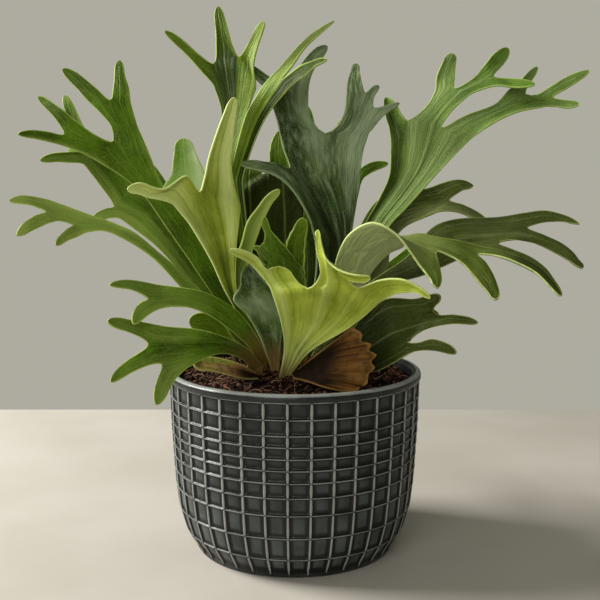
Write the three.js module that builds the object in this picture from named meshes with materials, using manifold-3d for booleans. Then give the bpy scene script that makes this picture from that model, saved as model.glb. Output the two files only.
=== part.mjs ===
// Staghorn fern in a ribbed ceramic pot, in millimetres, +Z up.
// The origin is the middle of the pot's underside, and the plant's front faces -Y.
import * as THREE from 'three';
import { mergeVertices } from 'three/addons/utils/BufferGeometryUtils.js';
import Module from 'manifold-3d';

const wasm = await Module();
wasm.setup();

// Driving dimensions of the pot
const RIB_COUNT = 36;
const FRONT_RIB_ANGLE = THREE.MathUtils.degToRad(-93);
const RIB_HALF_WIDTH = 1.3;
const RIB_HEIGHT = 1.1;
const WALL = 5.4;
const POT_HEIGHT = 116;
const FOOT_BEVEL = 3;
const FLOOR_THICKNESS = 8;
const FLOOR_BEVEL = 11;
const FIT_GAP = 0.3;
// Radius and height of each level ring of the raised net, from the foot to the rim band
const NET_RINGS = [
  [65.5, 4.2], [71.2, 14.1], [75.5, 28.7], [77.4, 43.2], [78.3, 54], [78.8, 63.1],
  [79.2, 70.6], [79.6, 77.6], [79.9, 84.7], [80.1, 91.5], [80.4, 100.9], [80.7, 110.9],
];

const BAND_RADIUS = NET_RINGS[NET_RINGS.length - 1][0];
// The rounded rim, as radius from the rim band and height from the pot's top
const RIM_PROFILE = [[0.4, -4.1], [0.4, -2.2], [-0.8, -0.5], [-2.6, 0], [-4.4, -0.6], [-WALL, -2.5]];
// The level rings whose radii also shape the inner wall, from the top down
const INNER_RINGS = [8, 5, 2];

// Driving dimensions of the soil and the crown that the fronds grow from
const SOIL_EDGE_HEIGHT = 110;
const SOIL_SHOULDER = [70, 111];
const SEAT_BANK = 7;
const CROWN_RADIUS = 52;
const CROWN_BOTTOM = 96;
const CROWN_TOP = 119.5;
const CROWN_SHOULDER = 112.5;
const CROWN_ANGLES = [18, 36, 56, 76];

// Driving dimensions of the fronds. Their outlines are laid out as they look from the front,
// on the upright plane through the pot's middle, from an eye at this distance and height.
const EYE_DISTANCE = 615;
const EYE_HEIGHT = 239.5;
const BLADE = 1.1;
const STALK = 2.6;
const STALK_LENGTH = 70;
const ROOT_DEPTH = 9;
const HOLE_GAP = 0.4;
const ROW_STEP = 17;
const TIP_STEPS = [0.5, 0.85];
const MANY_LOBES = 3;

// A closed mesh from a list of points and a list of triangles, turned so that its faces point out
function closedGeometry(points, triangles) {
  let volume = 0;
  for (const [a, b, c] of triangles) {
    volume += points[a].dot(new THREE.Vector3().crossVectors(points[b], points[c]));
  }
  const order = volume < 0 ? ([a, b, c]) => [a, c, b] : (t) => t;
  const geometry = new THREE.BufferGeometry();
  const positions = points.flatMap((p) => p.toArray());
  geometry.setAttribute('position', new THREE.Float32BufferAttribute(positions, 3));
  geometry.setIndex(triangles.flatMap(order));
  return geometry;
}

// A solid for cutting, from a geometry whose shared vertices are merged
function toSolid(geometry) {
  const bare = geometry.clone();
  bare.deleteAttribute('normal');
  bare.deleteAttribute('uv');
  const merged = mergeVertices(bare, 1e-4);
  return new wasm.Manifold(new wasm.Mesh({
    numProp: 3,
    vertProperties: new Float32Array(merged.attributes.position.array),
    triVerts: new Uint32Array(merged.index.array),
  }));
}

// The geometry of a cut solid
function fromSolid(solid) {
  const mesh = solid.getMesh();
  const geometry = new THREE.BufferGeometry();
  const positions = new Float32Array(mesh.vertProperties);
  geometry.setAttribute('position', new THREE.BufferAttribute(positions, 3));
  geometry.setIndex(new THREE.BufferAttribute(new Uint32Array(mesh.triVerts), 1));
  return geometry;
}

// A solid of revolution from a profile of [radius, height] that starts and ends on the axis
function turned(profile) {
  const lathe = new THREE.LatheGeometry(profile.map(([r, z]) => new THREE.Vector2(r, z)), RIB_COUNT);
  lathe.rotateX(Math.PI / 2);
  lathe.rotateZ(FRONT_RIB_ANGLE);
  return lathe;
}

// The pot: a turned wall whose outside carries a raised net of upright and level ribs.
// Each cell of the net is a flat panel set in between four sloping sides that meet at the ribs' crests.
function potGeometry() {
  const points = [];
  const triangles = [];
  const add = (radius, angle, height) => {
    points.push(new THREE.Vector3(radius * Math.cos(angle), radius * Math.sin(angle), height));
    return points.length - 1;
  };
  const quad = (a, b, c, d) => triangles.push([a, b, c], [a, c, d]);
  const stepAngle = (2 * Math.PI) / RIB_COUNT;
  const ring = (radius, height) => {
    const row = [];
    for (let i = 0; i < RIB_COUNT; i += 1) row.push(add(radius, FRONT_RIB_ANGLE + i * stepAngle, height));
    return row;
  };
  const join = (low, high) => {
    for (let i = 0; i < RIB_COUNT; i += 1) {
      const n = (i + 1) % RIB_COUNT;
      quad(low[i], low[n], high[n], high[i]);
    }
  };
  const crests = NET_RINGS.map(([radius, height]) => ring(radius, height));
  for (let j = 0; j + 1 < NET_RINGS.length; j += 1) {
    const [r0, z0] = NET_RINGS[j];
    const [r1, z1] = NET_RINGS[j + 1];
    const slope = (r1 - r0) / (z1 - z0);
    const low = z0 + RIB_HALF_WIDTH;
    const high = z1 - RIB_HALF_WIDTH;
    for (let i = 0; i < RIB_COUNT; i += 1) {
      const n = (i + 1) % RIB_COUNT;
      const corners = [[low, i, 1], [low, i + 1, -1], [high, i + 1, -1], [high, i, 1]];
      const panel = corners.map(([z, k, side]) => {
        const radius = r0 + slope * (z - z0) - RIB_HEIGHT;
        return add(radius, FRONT_RIB_ANGLE + k * stepAngle + (side * RIB_HALF_WIDTH) / radius, z);
      });
      quad(...panel);
      const frame = [crests[j][i], crests[j][n], crests[j + 1][n], crests[j + 1][i]];
      for (let k = 0; k < 4; k += 1) quad(frame[k], frame[(k + 1) % 4], panel[(k + 1) % 4], panel[k]);
    }
  }
  const foot = ring(NET_RINGS[0][0] - FOOT_BEVEL, 0);
  join(foot, crests[0]);
  const footMiddle = add(0, 0, 0);
  for (let i = 0; i < RIB_COUNT; i += 1) triangles.push([footMiddle, foot[(i + 1) % RIB_COUNT], foot[i]]);
  const rim = RIM_PROFILE.map(([out, up]) => [BAND_RADIUS + out, POT_HEIGHT + up]);
  let last = crests[crests.length - 1];
  for (const [radius, height] of [...rim, ...innerWall()]) {
    const next = ring(radius, height);
    join(last, next);
    last = next;
  }
  const floorMiddle = add(0, 0, FLOOR_THICKNESS);
  for (let i = 0; i < RIB_COUNT; i += 1) triangles.push([floorMiddle, last[i], last[(i + 1) % RIB_COUNT]]);
  return closedGeometry(points, triangles);
}

// Inner wall of the pot from the top down, as [radius, height]
function innerWall() {
  const wall = INNER_RINGS.map((i) => [NET_RINGS[i][0] - WALL, NET_RINGS[i][1]]);
  const [lowestRadius] = wall[wall.length - 1];
  return [[BAND_RADIUS - WALL, SOIL_EDGE_HEIGHT], ...wall, [lowestRadius - FLOOR_BEVEL, FLOOR_THICKNESS]];
}

// The soil fills the pot and has a round seat in its top for the crown
function soilGeometry() {
  const side = innerWall().reverse().map(([radius, height]) => [radius - FIT_GAP, height]);
  side[0][1] += FIT_GAP;
  const seat = CROWN_RADIUS + FIT_GAP;
  const profile = [
    [0, side[0][1]], ...side, SOIL_SHOULDER, [seat + SEAT_BANK, CROWN_SHOULDER - 1], [seat, CROWN_SHOULDER],
    [seat, CROWN_BOTTOM - FIT_GAP], [0, CROWN_BOTTOM - FIT_GAP],
  ];
  return turned(profile);
}

// The crown is the low mound of rhizome and old frond bases that every stalk grows out of
function crownGeometry() {
  const profile = [[0, CROWN_BOTTOM], [CROWN_RADIUS, CROWN_BOTTOM], [CROWN_RADIUS, CROWN_SHOULDER - 1]];
  const rise = CROWN_TOP - CROWN_SHOULDER;
  for (const angle of CROWN_ANGLES) {
    const a = THREE.MathUtils.degToRad(angle);
    profile.push([CROWN_RADIUS * Math.cos(a), CROWN_SHOULDER + rise * Math.sin(a)]);
  }
  profile.push([0, CROWN_TOP]);
  return turned(profile);
}

// A point of a frond from where it is seen and how far it lies behind the upright plane
function place([x, z, depth]) {
  const reach = (EYE_DISTANCE + depth) / EYE_DISTANCE;
  return new THREE.Vector3(x * reach, depth, EYE_HEIGHT + (z - EYE_HEIGHT) * reach);
}

const leftOf = (row) => place([row[0], row[1], row[4]]);
const rightOf = (row) => place([row[2], row[3], row[5]]);

// How a smooth curve through a, b and c leaves b, for the stretch from b to c
function leaving(a, b, c) {
  const before = Math.sqrt(a.distanceTo(b));
  const after = Math.sqrt(b.distanceTo(c));
  const way = new THREE.Vector3().subVectors(c, b);
  if (before === 0 || after === 0) return way;
  way.addScaledVector(new THREE.Vector3().subVectors(b, a), after / before);
  return way.addScaledVector(new THREE.Vector3().subVectors(c, a), -after / (before + after));
}

// Smooth curve through b and c, with a and d as the points before and after
function between(a, b, c, d, s) {
  const leave = leaving(a, b, c);
  const arrive = leaving(d, c, b).negate();
  const rise = new THREE.Vector3().subVectors(c, b);
  const square = rise.clone().multiplyScalar(3).addScaledVector(leave, -2).sub(arrive);
  const cube = leave.clone().add(arrive).addScaledVector(rise, -2);
  const point = b.clone().addScaledVector(leave, s);
  return point.addScaledVector(square, s ** 2).addScaledVector(cube, s ** 3);
}

// The point as far past a pivot as the given point is before it
function mirrored(point, pivot) {
  return pivot.clone().multiplyScalar(2).sub(point);
}

function lobeCount(strap) {
  if (strap.kids) return strap.kids.reduce((sum, kid) => sum + lobeCount(kid), 0);
  return 1;
}

// Where the lengthwise lines of a strap cross it, from 0 at its left edge to 1 at its right edge
function lineFractions(strap, perLobe) {
  if (strap.margin) return strap.margin.map((_, i) => i / (strap.margin.length - 1));
  if (!strap.kids) return Array.from({ length: perLobe + 1 }, (_, i) => i / perLobe);
  const ends = strap.fork.map(place);
  const lengths = strap.kids.map((_, i) => ends[i].distanceTo(ends[i + 1]));
  const total = lengths.reduce((sum, length) => sum + length, 0);
  const fractions = [0];
  let start = 0;
  strap.kids.forEach((kid, i) => {
    for (const f of lineFractions(kid, perLobe).slice(1)) fractions.push(start + (f * lengths[i]) / total);
    start += lengths[i] / total;
  });
  return fractions;
}

// Lays the rows of one strap, then those of the straps that it forks into.
// start is the row of point numbers that the strap grows on from, with its two end points.
function layStrap(sheet, strap, start, before, perLobe, travelled) {
  const fractions = lineFractions(strap, perLobe);
  const rows = strap.rows.map((row) => [leftOf(row), rightOf(row)]);
  const margin = strap.fork ?? strap.margin;
  const ends = margin ? margin.map(place) : null;
  if (ends) rows.push([ends[0], ends[ends.length - 1]]);
  const keys = start ? [[sheet.points[start[0]], sheet.points[start[start.length - 1]]], ...rows] : rows;
  let row = start;
  let length = travelled;
  const rowOfPoints = (left, right, bulge) => {
    const width = left.distanceTo(right);
    return fractions.map((f) => {
      const p = new THREE.Vector3().lerpVectors(left, right, f);
      p.y += bulge * sheet.cup * width * 4 * f * (1 - f);
      return p;
    });
  };
  const addRow = (points, at) => {
    const next = points.map((p) => sheet.add(p, at));
    if (row) sheet.bridge(row, next);
    row = next;
  };
  if (!row) addRow(rowOfPoints(...keys[0], 1), 0);
  const forkPoints = ends ? forkRow(strap, ends, perLobe) : null;
  for (let k = 0; k + 1 < keys.length; k += 1) {
    const [l1, r1] = keys[k];
    const [l2, r2] = keys[k + 1];
    const [l0, r0] = (k > 0 ? keys[k - 1] : before) ?? [mirrored(l2, l1), mirrored(r2, r1)];
    const [l3, r3] = keys[k + 2] ?? pastTheEnd(strap, [l1, r1], [l2, r2]);
    const span = (l1.distanceTo(l2) + r1.distanceTo(r2)) / 2;
    const steps = Math.max(1, Math.round(span / ROW_STEP));
    const last = margin && k + 2 === keys.length;
    const first = start && k === 0;
    for (let i = 1; i <= steps; i += 1) {
      const s = i / steps;
      const bulge = (last ? 1 - s : 1) * (first ? s : 1);
      const points = rowOfPoints(between(l0, l1, l2, l3, s), between(r0, r1, r2, r3, s), bulge);
      if (last) {
        const straight = rowOfPoints(l2, r2, 0);
        points.forEach((p, j) => p.addScaledVector(forkPoints[j].clone().sub(straight[j]), s * s));
      }
      addRow(points, length + span * s);
    }
    length += span;
  }
  if (strap.kids) layKids(sheet, strap, row, keys, perLobe, length);
  if (strap.tip) {
    const past = keys.length > 1 ? keys[keys.length - 2] : before;
    layTip(sheet, strap, row, keys[keys.length - 1], past, fractions, length);
  }
}

// Where the two edges of a strap go on to past its last row
function pastTheEnd(strap, [left, right], [endLeft, endRight]) {
  if (!strap.tip) return [mirrored(left, endLeft), mirrored(right, endRight)];
  const tip = place(strap.tip);
  const half = new THREE.Vector3().subVectors(endRight, endLeft).multiplyScalar(0.5);
  return [tip.clone().sub(half), tip.clone().add(half)];
}

// The row of points at a fork or along a scalloped margin
function forkRow(strap, ends, perLobe) {
  if (strap.margin) return ends;
  const points = [ends[0]];
  strap.kids.forEach((kid, i) => {
    for (const f of lineFractions(kid, perLobe).slice(1)) {
      points.push(new THREE.Vector3().lerpVectors(ends[i], ends[i + 1], f));
    }
  });
  return points;
}

// Each strap past a fork starts on its own stretch of the fork's row. Its inner edges leave the notch
// in one smooth curve with its neighbour's, so the notch is round.
function layKids(sheet, strap, row, keys, perLobe, length) {
  const firstRow = (kid) => {
    if (kid.rows.length) return [leftOf(kid.rows[0]), rightOf(kid.rows[0])];
    const end = kid.tip ? [kid.tip, kid.tip] : [kid.fork[0], kid.fork[kid.fork.length - 1]];
    return end.map(place);
  };
  const [parentLeft, parentRight] = keys[keys.length - 2];
  let from = 0;
  strap.kids.forEach((kid, i) => {
    const count = lineFractions(kid, perLobe).length;
    const left = i === 0 ? parentLeft : firstRow(strap.kids[i - 1])[1];
    const right = i === strap.kids.length - 1 ? parentRight : firstRow(strap.kids[i + 1])[0];
    layStrap(sheet, kid, row.slice(from, from + count), [left, right], perLobe, length);
    from += count - 1;
  });
}

// A lobe ends in a round tip, which bends on the way that the lobe came
function layTip(sheet, strap, row, [left, right], [pastLeft, pastRight], fractions, length) {
  const tip = place(strap.tip);
  const middle = new THREE.Vector3().lerpVectors(left, right, 0.5);
  const half = new THREE.Vector3().subVectors(right, left).multiplyScalar(0.5);
  const leave = leaving(new THREE.Vector3().lerpVectors(pastLeft, pastRight, 0.5), middle, tip);
  const bend = new THREE.Vector3().subVectors(tip, middle).sub(leave);
  const reach = middle.distanceTo(tip);
  let last = row;
  for (const s of TIP_STEPS) {
    const heading = leave.clone().addScaledVector(bend, 2 * s).normalize();
    const side = half.clone().addScaledVector(heading, -s * half.dot(heading));
    side.multiplyScalar(Math.sqrt(1 - s * s));
    const centre = middle.clone().addScaledVector(leave, s).addScaledVector(bend, s * s);
    const next = fractions.map((f) => (
      sheet.add(centre.clone().addScaledVector(side, 2 * f - 1), length + s * reach)));
    sheet.bridge(last, next);
    last = next;
  }
  const end = sheet.add(tip, length + reach);
  for (let j = 0; j + 1 < last.length; j += 1) sheet.triangles.push([last[j], last[j + 1], end]);
}

// The thin middle sheet of a frond, and the distance of each of its points from the root
function frondSheet(frond) {
  const sheet = {
    points: [], triangles: [], distance: [], cup: frond.cup,
    add(point, distance) {
      this.points.push(point);
      this.distance.push(distance);
      return this.points.length - 1;
    },
    bridge(low, high) {
      for (let j = 0; j + 1 < low.length; j += 1) {
        this.triangles.push([low[j], low[j + 1], high[j + 1]], [low[j], high[j + 1], high[j]]);
      }
    },
  };
  const perLobe = lobeCount(frond) < MANY_LOBES ? 2 : 1;
  layStrap(sheet, frond, null, null, perLobe, 0);
  return sheet;
}

// Gives a sheet its thickness: thick at the stalk, thin in the blade, the same triangles on both faces.
// The stalk goes on straight down into the crown.
function frondGeometry(frond, grow = 0) {
  const sheet = frondSheet(frond);
  const normals = sheet.points.map(() => new THREE.Vector3());
  for (const [a, b, c] of sheet.triangles) {
    const ab = new THREE.Vector3().subVectors(sheet.points[b], sheet.points[a]);
    const ac = new THREE.Vector3().subVectors(sheet.points[c], sheet.points[a]);
    const normal = ab.cross(ac);
    for (const v of [a, b, c]) normals[v].add(normal);
  }
  normals.forEach((n) => n.normalize());
  const rootCount = sheet.distance.filter((d) => d === 0).length;
  const root = sheet.points.slice(0, rootCount);
  const side = new THREE.Vector3().subVectors(root[rootCount - 1], root[0]).normalize();
  const flat = new THREE.Vector3(-side.y, side.x, 0).normalize();
  if (flat.dot(normals[0]) < 0) flat.negate();
  for (let i = 0; i < rootCount; i += 1) normals[i].copy(flat);
  const count = sheet.points.length;
  const faces = [];
  for (const face of [1, -1]) {
    sheet.points.forEach((p, i) => {
      const along = Math.min(sheet.distance[i] / STALK_LENGTH, 1);
      const thickness = STALK + (BLADE - STALK) * along;
      faces.push(p.clone().addScaledVector(normals[i], face * (thickness / 2 + grow)));
    });
  }
  for (const face of [1, -1]) {
    root.forEach((p) => {
      const low = p.clone().addScaledVector(flat, face * (STALK / 2 + grow));
      low.z -= ROOT_DEPTH + grow;
      faces.push(low);
    });
  }
  const triangles = [];
  for (const [a, b, c] of sheet.triangles) {
    triangles.push([a, b, c], [a + count, c + count, b + count]);
  }
  const low = 2 * count;
  for (let j = 0; j + 1 < rootCount; j += 1) {
    const under = low + rootCount;
    triangles.push([low + j, low + j + 1, j + 1], [low + j, j + 1, j]);
    triangles.push([under + j, j + 1 + count, under + j + 1], [under + j, j + count, j + 1 + count]);
    triangles.push([low + j, under + j + 1, low + j + 1], [low + j, under + j, under + j + 1]);
  }
  const edges = new Map();
  for (const [a, b, c] of sheet.triangles) {
    for (const [p, q] of [[a, b], [b, c], [c, a]]) {
      if (edges.has(`${q}-${p}`)) edges.delete(`${q}-${p}`);
      else edges.set(`${p}-${q}`, [p, q]);
    }
  }
  for (const [p, q] of edges.values()) {
    if (p < rootCount && q < rootCount) continue;
    triangles.push([p, p + count, q], [q, p + count, q + count]);
  }
  const last = rootCount - 1;
  const under = low + rootCount;
  triangles.push([0, under, low], [0, count, under]);
  triangles.push([last, low + last, under + last], [last, under + last, last + count]);
  return closedGeometry(faces, triangles);
}

// The fronds. A row is a strap's left edge x, z, right edge x, z, and how far each edge lies behind the
// upright plane. A fork lists the points between which the next straps grow, from left to right, and
// a tip is one point: x, z and how far back it lies.
const FRONDS = {
  frond_left_high: {
    kind: 'mature',
    cup: -0.06,
    rows: [
      [-24, 116.5, -17.5, 118.5, 0, 0], [-38, 139.5, -31, 145, 6, 8], [-55, 166.5, -45.5, 171, 6, 8],
      [-74.5, 196.5, -60.5, 201, 4, 4], [-100.5, 232, -82, 229.5, 0, 0],
    ],
    fork: [[-125, 248.5, -2], [-115, 260.5, -4], [-92, 254, -4]],
    kids: [
      {
        rows: [[-136.5, 254.5, -126, 265, -6, -8]],
        fork: [[-147, 258, -10], [-145, 265, -10], [-137.5, 273.5, -10]],
        kids: [
          {
            rows: [[-156.5, 260.5, -155.5, 266.5, -14, -14], [-166, 262.5, -165, 267.5, -18, -18]],
            tip: [-174, 265, -22],
          },
          { rows: [[-149, 273, -145, 280, -8, -8], [-155, 280, -152, 285, -4, -4]], tip: [-160.5, 288, 0] },
        ],
      },
      {
        rows: [[-115.5, 270, -99, 270.5, 0, 4]],
        fork: [[-122.5, 278.5, 4], [-115.5, 286, 6], [-102.5, 283.5, 8]],
        kids: [
          {
            rows: [[-129.5, 285.5, -123.5, 293, 8, 8], [-137.5, 294.5, -132.5, 300.5, 12, 12]],
            tip: [-144.5, 305, 16],
          },
          {
            rows: [[-113.5, 294, -103.5, 293, 14, 14], [-112.5, 302.5, -106, 302.5, 22, 22]],
            tip: [-109, 310, 28],
          },
        ],
      },
    ],
  },
  frond_left_behind: {
    kind: 'mature',
    cup: 0.06,
    rows: [
      [-26.5, 119.5, -21, 121.5, 10, 10], [-44.5, 145.5, -36.5, 149.5, 22, 22],
      [-67, 170, -57.5, 176.5, 26, 26], [-87.5, 193.5, -75.5, 205, 26, 26],
      [-101, 204.5, -90, 226.5, 26, 28],
    ],
    fork: [[-111, 212, 26], [-115, 219.5, 28], [-98, 232.5, 28]],
    kids: [
      {
        rows: [[-117, 212.5, -120, 218.5, 25, 26], [-123, 210.5, -126, 215.5, 22, 24]],
        tip: [-131, 208, 20],
      },
      {
        rows: [[-124, 234, -106.5, 245, 30, 30]],
        fork: [[-133, 246, 30], [-129, 255, 32], [-116.5, 257.5, 34]],
        kids: [
          {
            rows: [[-143, 247, -141.5, 254, 26, 28], [-152, 247.5, -151, 253.5, 22, 22]],
            tip: [-160.5, 248.5, 18],
          },
          {
            rows: [[-136.5, 262.5, -130, 266.5, 38, 38], [-143.5, 278, -137, 280, 44, 44]],
            tip: [-143.5, 288.5, 50],
          },
        ],
      },
    ],
  },
  frond_left_drooping: {
    kind: 'mature',
    cup: -0.1,
    rows: [
      [-29, 116.5, -24.5, 120, -8, -8], [-49, 140.5, -43, 148, -8, -6], [-71, 165.5, -62, 167.5, -10, -4],
      [-92.5, 188, -88, 190.5, -14, -8], [-107.5, 198, -103, 203.5, -16, -12],
      [-121, 204, -117.5, 210, -17, -12],
    ],
    fork: [[-131.5, 203.5, -18], [-141, 207.5, -20], [-128, 213.5, -14]],
    kids: [
      {
        rows: [[-139.5, 200.5, -145, 205.5, -22, -26], [-146, 197.5, -149.5, 201.5, -28, -30]],
        tip: [-152, 195, -34],
      },
      {
        rows: [[-150, 210.5, -142, 218.5, -22, -16]],
        fork: [[-156.5, 209, -26], [-158, 216.5, -26], [-155, 223.5, -20]],
        kids: [
          {
            rows: [[-163.5, 206, -164, 214.5, -30, -30], [-170, 203, -171.5, 210, -36, -36]],
            tip: [-177, 201, -40],
          },
          {
            rows: [[-163, 219, -163.5, 225.5, -29, -25], [-170.5, 221, -171, 226.5, -34, -32]],
            tip: [-181, 223, -38],
          },
        ],
      },
    ],
  },
  frond_front_left: {
    kind: 'young',
    cup: 0.15,
    rows: [
      [-21, 115.5, -14.5, 118, -17, -17], [-32, 140.5, -25, 143, -22, -22],
      [-42, 160.5, -36.5, 162.5, -26, -26], [-53.5, 184.5, -37.5, 187, -32, -24],
      [-66, 207.5, -35.5, 208.5, -38, -22],
    ],
    fork: [[-77, 220.5, -42], [-60.5, 229, -34], [-34.5, 220.5, -20]],
    kids: [
      {
        rows: [
          [-83.5, 223.5, -68, 239, -46, -38], [-93, 225.5, -83, 230.5, -50, -46],
          [-99.5, 227.5, -97.5, 234.5, -52, -52],
        ],
        tip: [-106, 230, -54],
      },
      {
        rows: [
          [-57.5, 236.5, -38, 232.5, -28, -18], [-54, 250, -40, 247, -24, -16],
          [-48, 267.5, -38, 267, -20, -16], [-43, 280.5, -36, 281, -18, -16],
        ],
        tip: [-37.5, 287.5, -16],
      },
    ],
  },
  frond_small_silver: {
    kind: 'silver',
    cup: 0.12,
    rows: [
      [-18.5, 120, -14.5, 121.5, -5, -5], [-35, 152, -30, 154.5, -8, -8], [-48.5, 182, -42, 184.5, -9, -9],
      [-61, 210, -51.5, 213, -9, -9], [-83.5, 229.5, -56, 234, -8, -8], [-78, 240, -57.5, 241.5, -8, -8],
      [-77, 249, -60.5, 249, -8, -8], [-76, 255.5, -63, 255.5, -6, -6],
    ],
    tip: [-69.5, 262, -4],
  },
  frond_centre_tall: {
    kind: 'tall',
    cup: 0.1,
    rows: [
      [-16, 120.5, -11, 121.5, 8, 8], [-26, 153.5, -20, 154.5, 12, 12], [-37.5, 188, -28.5, 190, 14, 12],
      [-43.5, 218.5, -31.5, 220, 12, 6],
    ],
    fork: [[-48, 236.5, 10], [-41.5, 237.5, 4], [-32.5, 235, -2]],
    kids: [
      {
        rows: [[-49, 260, -35.5, 260, 14, 6], [-46, 278.5, -29.5, 278.5, 18, 8]],
        fork: [[-50.5, 294.5, 22], [-50.5, 308.5, 24], [-34.5, 312.5, 20], [-24, 293, 8]],
        kids: [
          {
            rows: [[-59, 304.5, -59, 313.5, 24, 26], [-70, 316, -69, 322.5, 28, 28]],
            tip: [-80.5, 328, 30],
          },
          {
            rows: [[-49, 320, -38.5, 319, 32, 30], [-49.5, 332.5, -42.5, 332.5, 42, 40]],
            tip: [-47.5, 342.5, 50],
          },
          {
            rows: [[-32, 315.5, -25.5, 307, 22, 14], [-26.5, 325, -22, 321, 24, 20]],
            tip: [-19, 333.5, 26],
          },
        ],
      },
      {
        rows: [[-36.5, 257, -26.5, 257, -8, -8], [-30, 278, -17.5, 276, -8, -8]],
        fork: [[-21, 293, -2], [-8, 298.5, -8], [-2.5, 294.5, -14]],
        kids: [
          { rows: [[-6.5, 309.5, -0.5, 308, -2, -4], [4.5, 321.5, 9.5, 320.5, 2, 2]], tip: [24.5, 334, 8] },
          { rows: [[3.5, 307, 6.5, 301, -14, -20], [12, 310, 14, 307, -18, -22]], tip: [20, 310.5, -24] },
        ],
      },
    ],
  },
  frond_centre_silver: {
    kind: 'silver',
    cup: 0.1,
    rows: [
      [-2, 115.5, 5.5, 115.5, 2, 2], [7.5, 140.5, 20, 141.5, 0, 2], [12.5, 170, 31, 167.5, -4, 4],
      [13.5, 192, 35.5, 196, -10, 6],
    ],
    fork: [[10.5, 210, -14], [-3.5, 244, -6], [40.5, 230, 8]],
    kids: [
      { rows: [[-3, 232, -12.5, 247, -16, -10], [-15.5, 240, -20, 247.5, -20, -16]], tip: [-34, 246, -20] },
      {
        rows: [[-7.5, 256.5, 43, 254, 0, 10]],
        fork: [[-10, 268, 6], [19.5, 265.5, 10], [46.5, 265, 14]],
        kids: [
          {
            rows: [[-11, 273.5, 13.5, 270, 8, 11], [-13.5, 281, 9, 278.5, 10, 12]],
            fork: [[-17.5, 291, 12], [-5.5, 296, 14], [8.5, 291, 16]],
            kids: [
              { rows: [[-24, 298.5, -17.5, 301.5, 16, 18]], tip: [-29, 307, 20] },
              { rows: [[2, 305.5, 11, 302.5, 19, 19], [8.5, 314, 16, 310, 22, 22]], tip: [20, 318.5, 26] },
            ],
          },
          {
            rows: [[27, 270, 48.5, 268, 9, 14], [31.5, 280, 52.5, 273, 10, 16]],
            fork: [[32, 288, 12], [44, 290.5, 14], [49.5, 281.5, 16], [58, 278, 18]],
            kids: [
              {
                rows: [[33, 298.5, 41.5, 298.5, 18, 18], [35, 304.5, 40.5, 304.5, 24, 24]],
                tip: [38, 308, 26],
              },
              { rows: [[47, 292.5, 50, 288.5, 18, 18]], tip: [52.5, 294.5, 24] },
              { rows: [[56, 282.5, 60.5, 280, 20, 20]], tip: [65.5, 284, 24] },
            ],
          },
        ],
      },
    ],
  },
  frond_centre_behind: {
    kind: 'mature',
    cup: 0.08,
    rows: [
      [-9, 120.5, -3.5, 120.5, 18, 18], [-17, 160, -1.5, 160, 24, 24], [-33.5, 194.5, 5.5, 196.5, 30, 26],
    ],
    fork: [[-37, 224, 34], [-17.5, 241, 34], [6, 226.5, 30]],
    kids: [
      { rows: [[-35.5, 234, -20.5, 240, 38, 38]], tip: [-27.5, 245, 42] },
      { rows: [[-16, 248.5, -2.5, 245, 36, 34]], tip: [-9, 267, 40] },
    ],
  },
  frond_right_high: {
    kind: 'bright',
    cup: 0.12,
    rows: [
      [8.5, 118, 15, 118.5, 12, 12], [28, 162.5, 38, 162, 20, 18], [44, 207.5, 59.5, 205.5, 22, 14],
      [53, 224, 70, 218, 24, 14], [59.5, 239, 87, 237, 24, 12],
    ],
    fork: [[60.5, 256.5, 26], [71.5, 273.5, 22], [92.5, 269.5, 14], [109, 260, 8]],
    kids: [
      { rows: [[59, 269.5, 66.5, 278, 28, 24]], tip: [57, 287.5, 32] },
      {
        rows: [[83.5, 283.5, 98.5, 279.5, 24, 14]],
        fork: [[87.5, 291.5, 26], [100, 293.5, 20], [109, 289, 12]],
        kids: [
          { rows: [[88.5, 300, 99.5, 301, 28, 26], [92.5, 310, 100.5, 309.5, 32, 32]], tip: [98, 314, 36] },
          {
            rows: [[112, 300, 121, 293.5, 16, 8]],
            fork: [[117.5, 306.5, 18], [124, 300, 12], [127, 294.5, 4]],
            kids: [
              { rows: [[122, 312.5, 130, 307.5, 18, 18]], tip: [132.5, 317.5, 22] },
              { rows: [[135.5, 299, 136.5, 293.5, 6, 0]], tip: [150, 295.5, -4] },
            ],
          },
        ],
      },
      {
        rows: [[107.5, 277, 119.5, 268, 8, 2], [125, 283.5, 136.5, 277.5, 8, 2]],
        fork: [[133.5, 292, 10], [144.5, 289.5, 8], [157, 282, 2]],
        kids: [
          { rows: [[141.5, 299, 147, 296.5, 10, 10]], tip: [151, 306, 14] },
          {
            rows: [[152, 289.5, 160, 282, 6, 0]],
            fork: [[157.5, 293, 6], [161.5, 288, 2], [163.5, 282, -2]],
            kids: [
              { rows: [[167, 299, 170, 293.5, 6, 2]], tip: [183.5, 304, 6] },
              { rows: [[170.5, 286, 170, 281, -4, -6]], tip: [178, 283.5, -8] },
            ],
          },
        ],
      },
    ],
  },
  frond_right_behind: {
    kind: 'mature',
    cup: -0.06,
    rows: [
      [6.5, 120, 11, 119.5, 24, 24], [20, 162.5, 34.5, 159, 32, 32], [29, 185.5, 59, 180, 36, 36],
      [40.5, 206, 61, 191.5, 38, 36], [53, 224, 68.5, 205, 38, 32],
    ],
    fork: [[84.5, 231.5, 38], [98, 223.5, 32], [90, 216, 28]],
    kids: [
      {
        rows: [[93, 234.5, 103.5, 228, 38, 34], [102.5, 236.5, 108.5, 230.5, 38, 34]],
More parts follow.
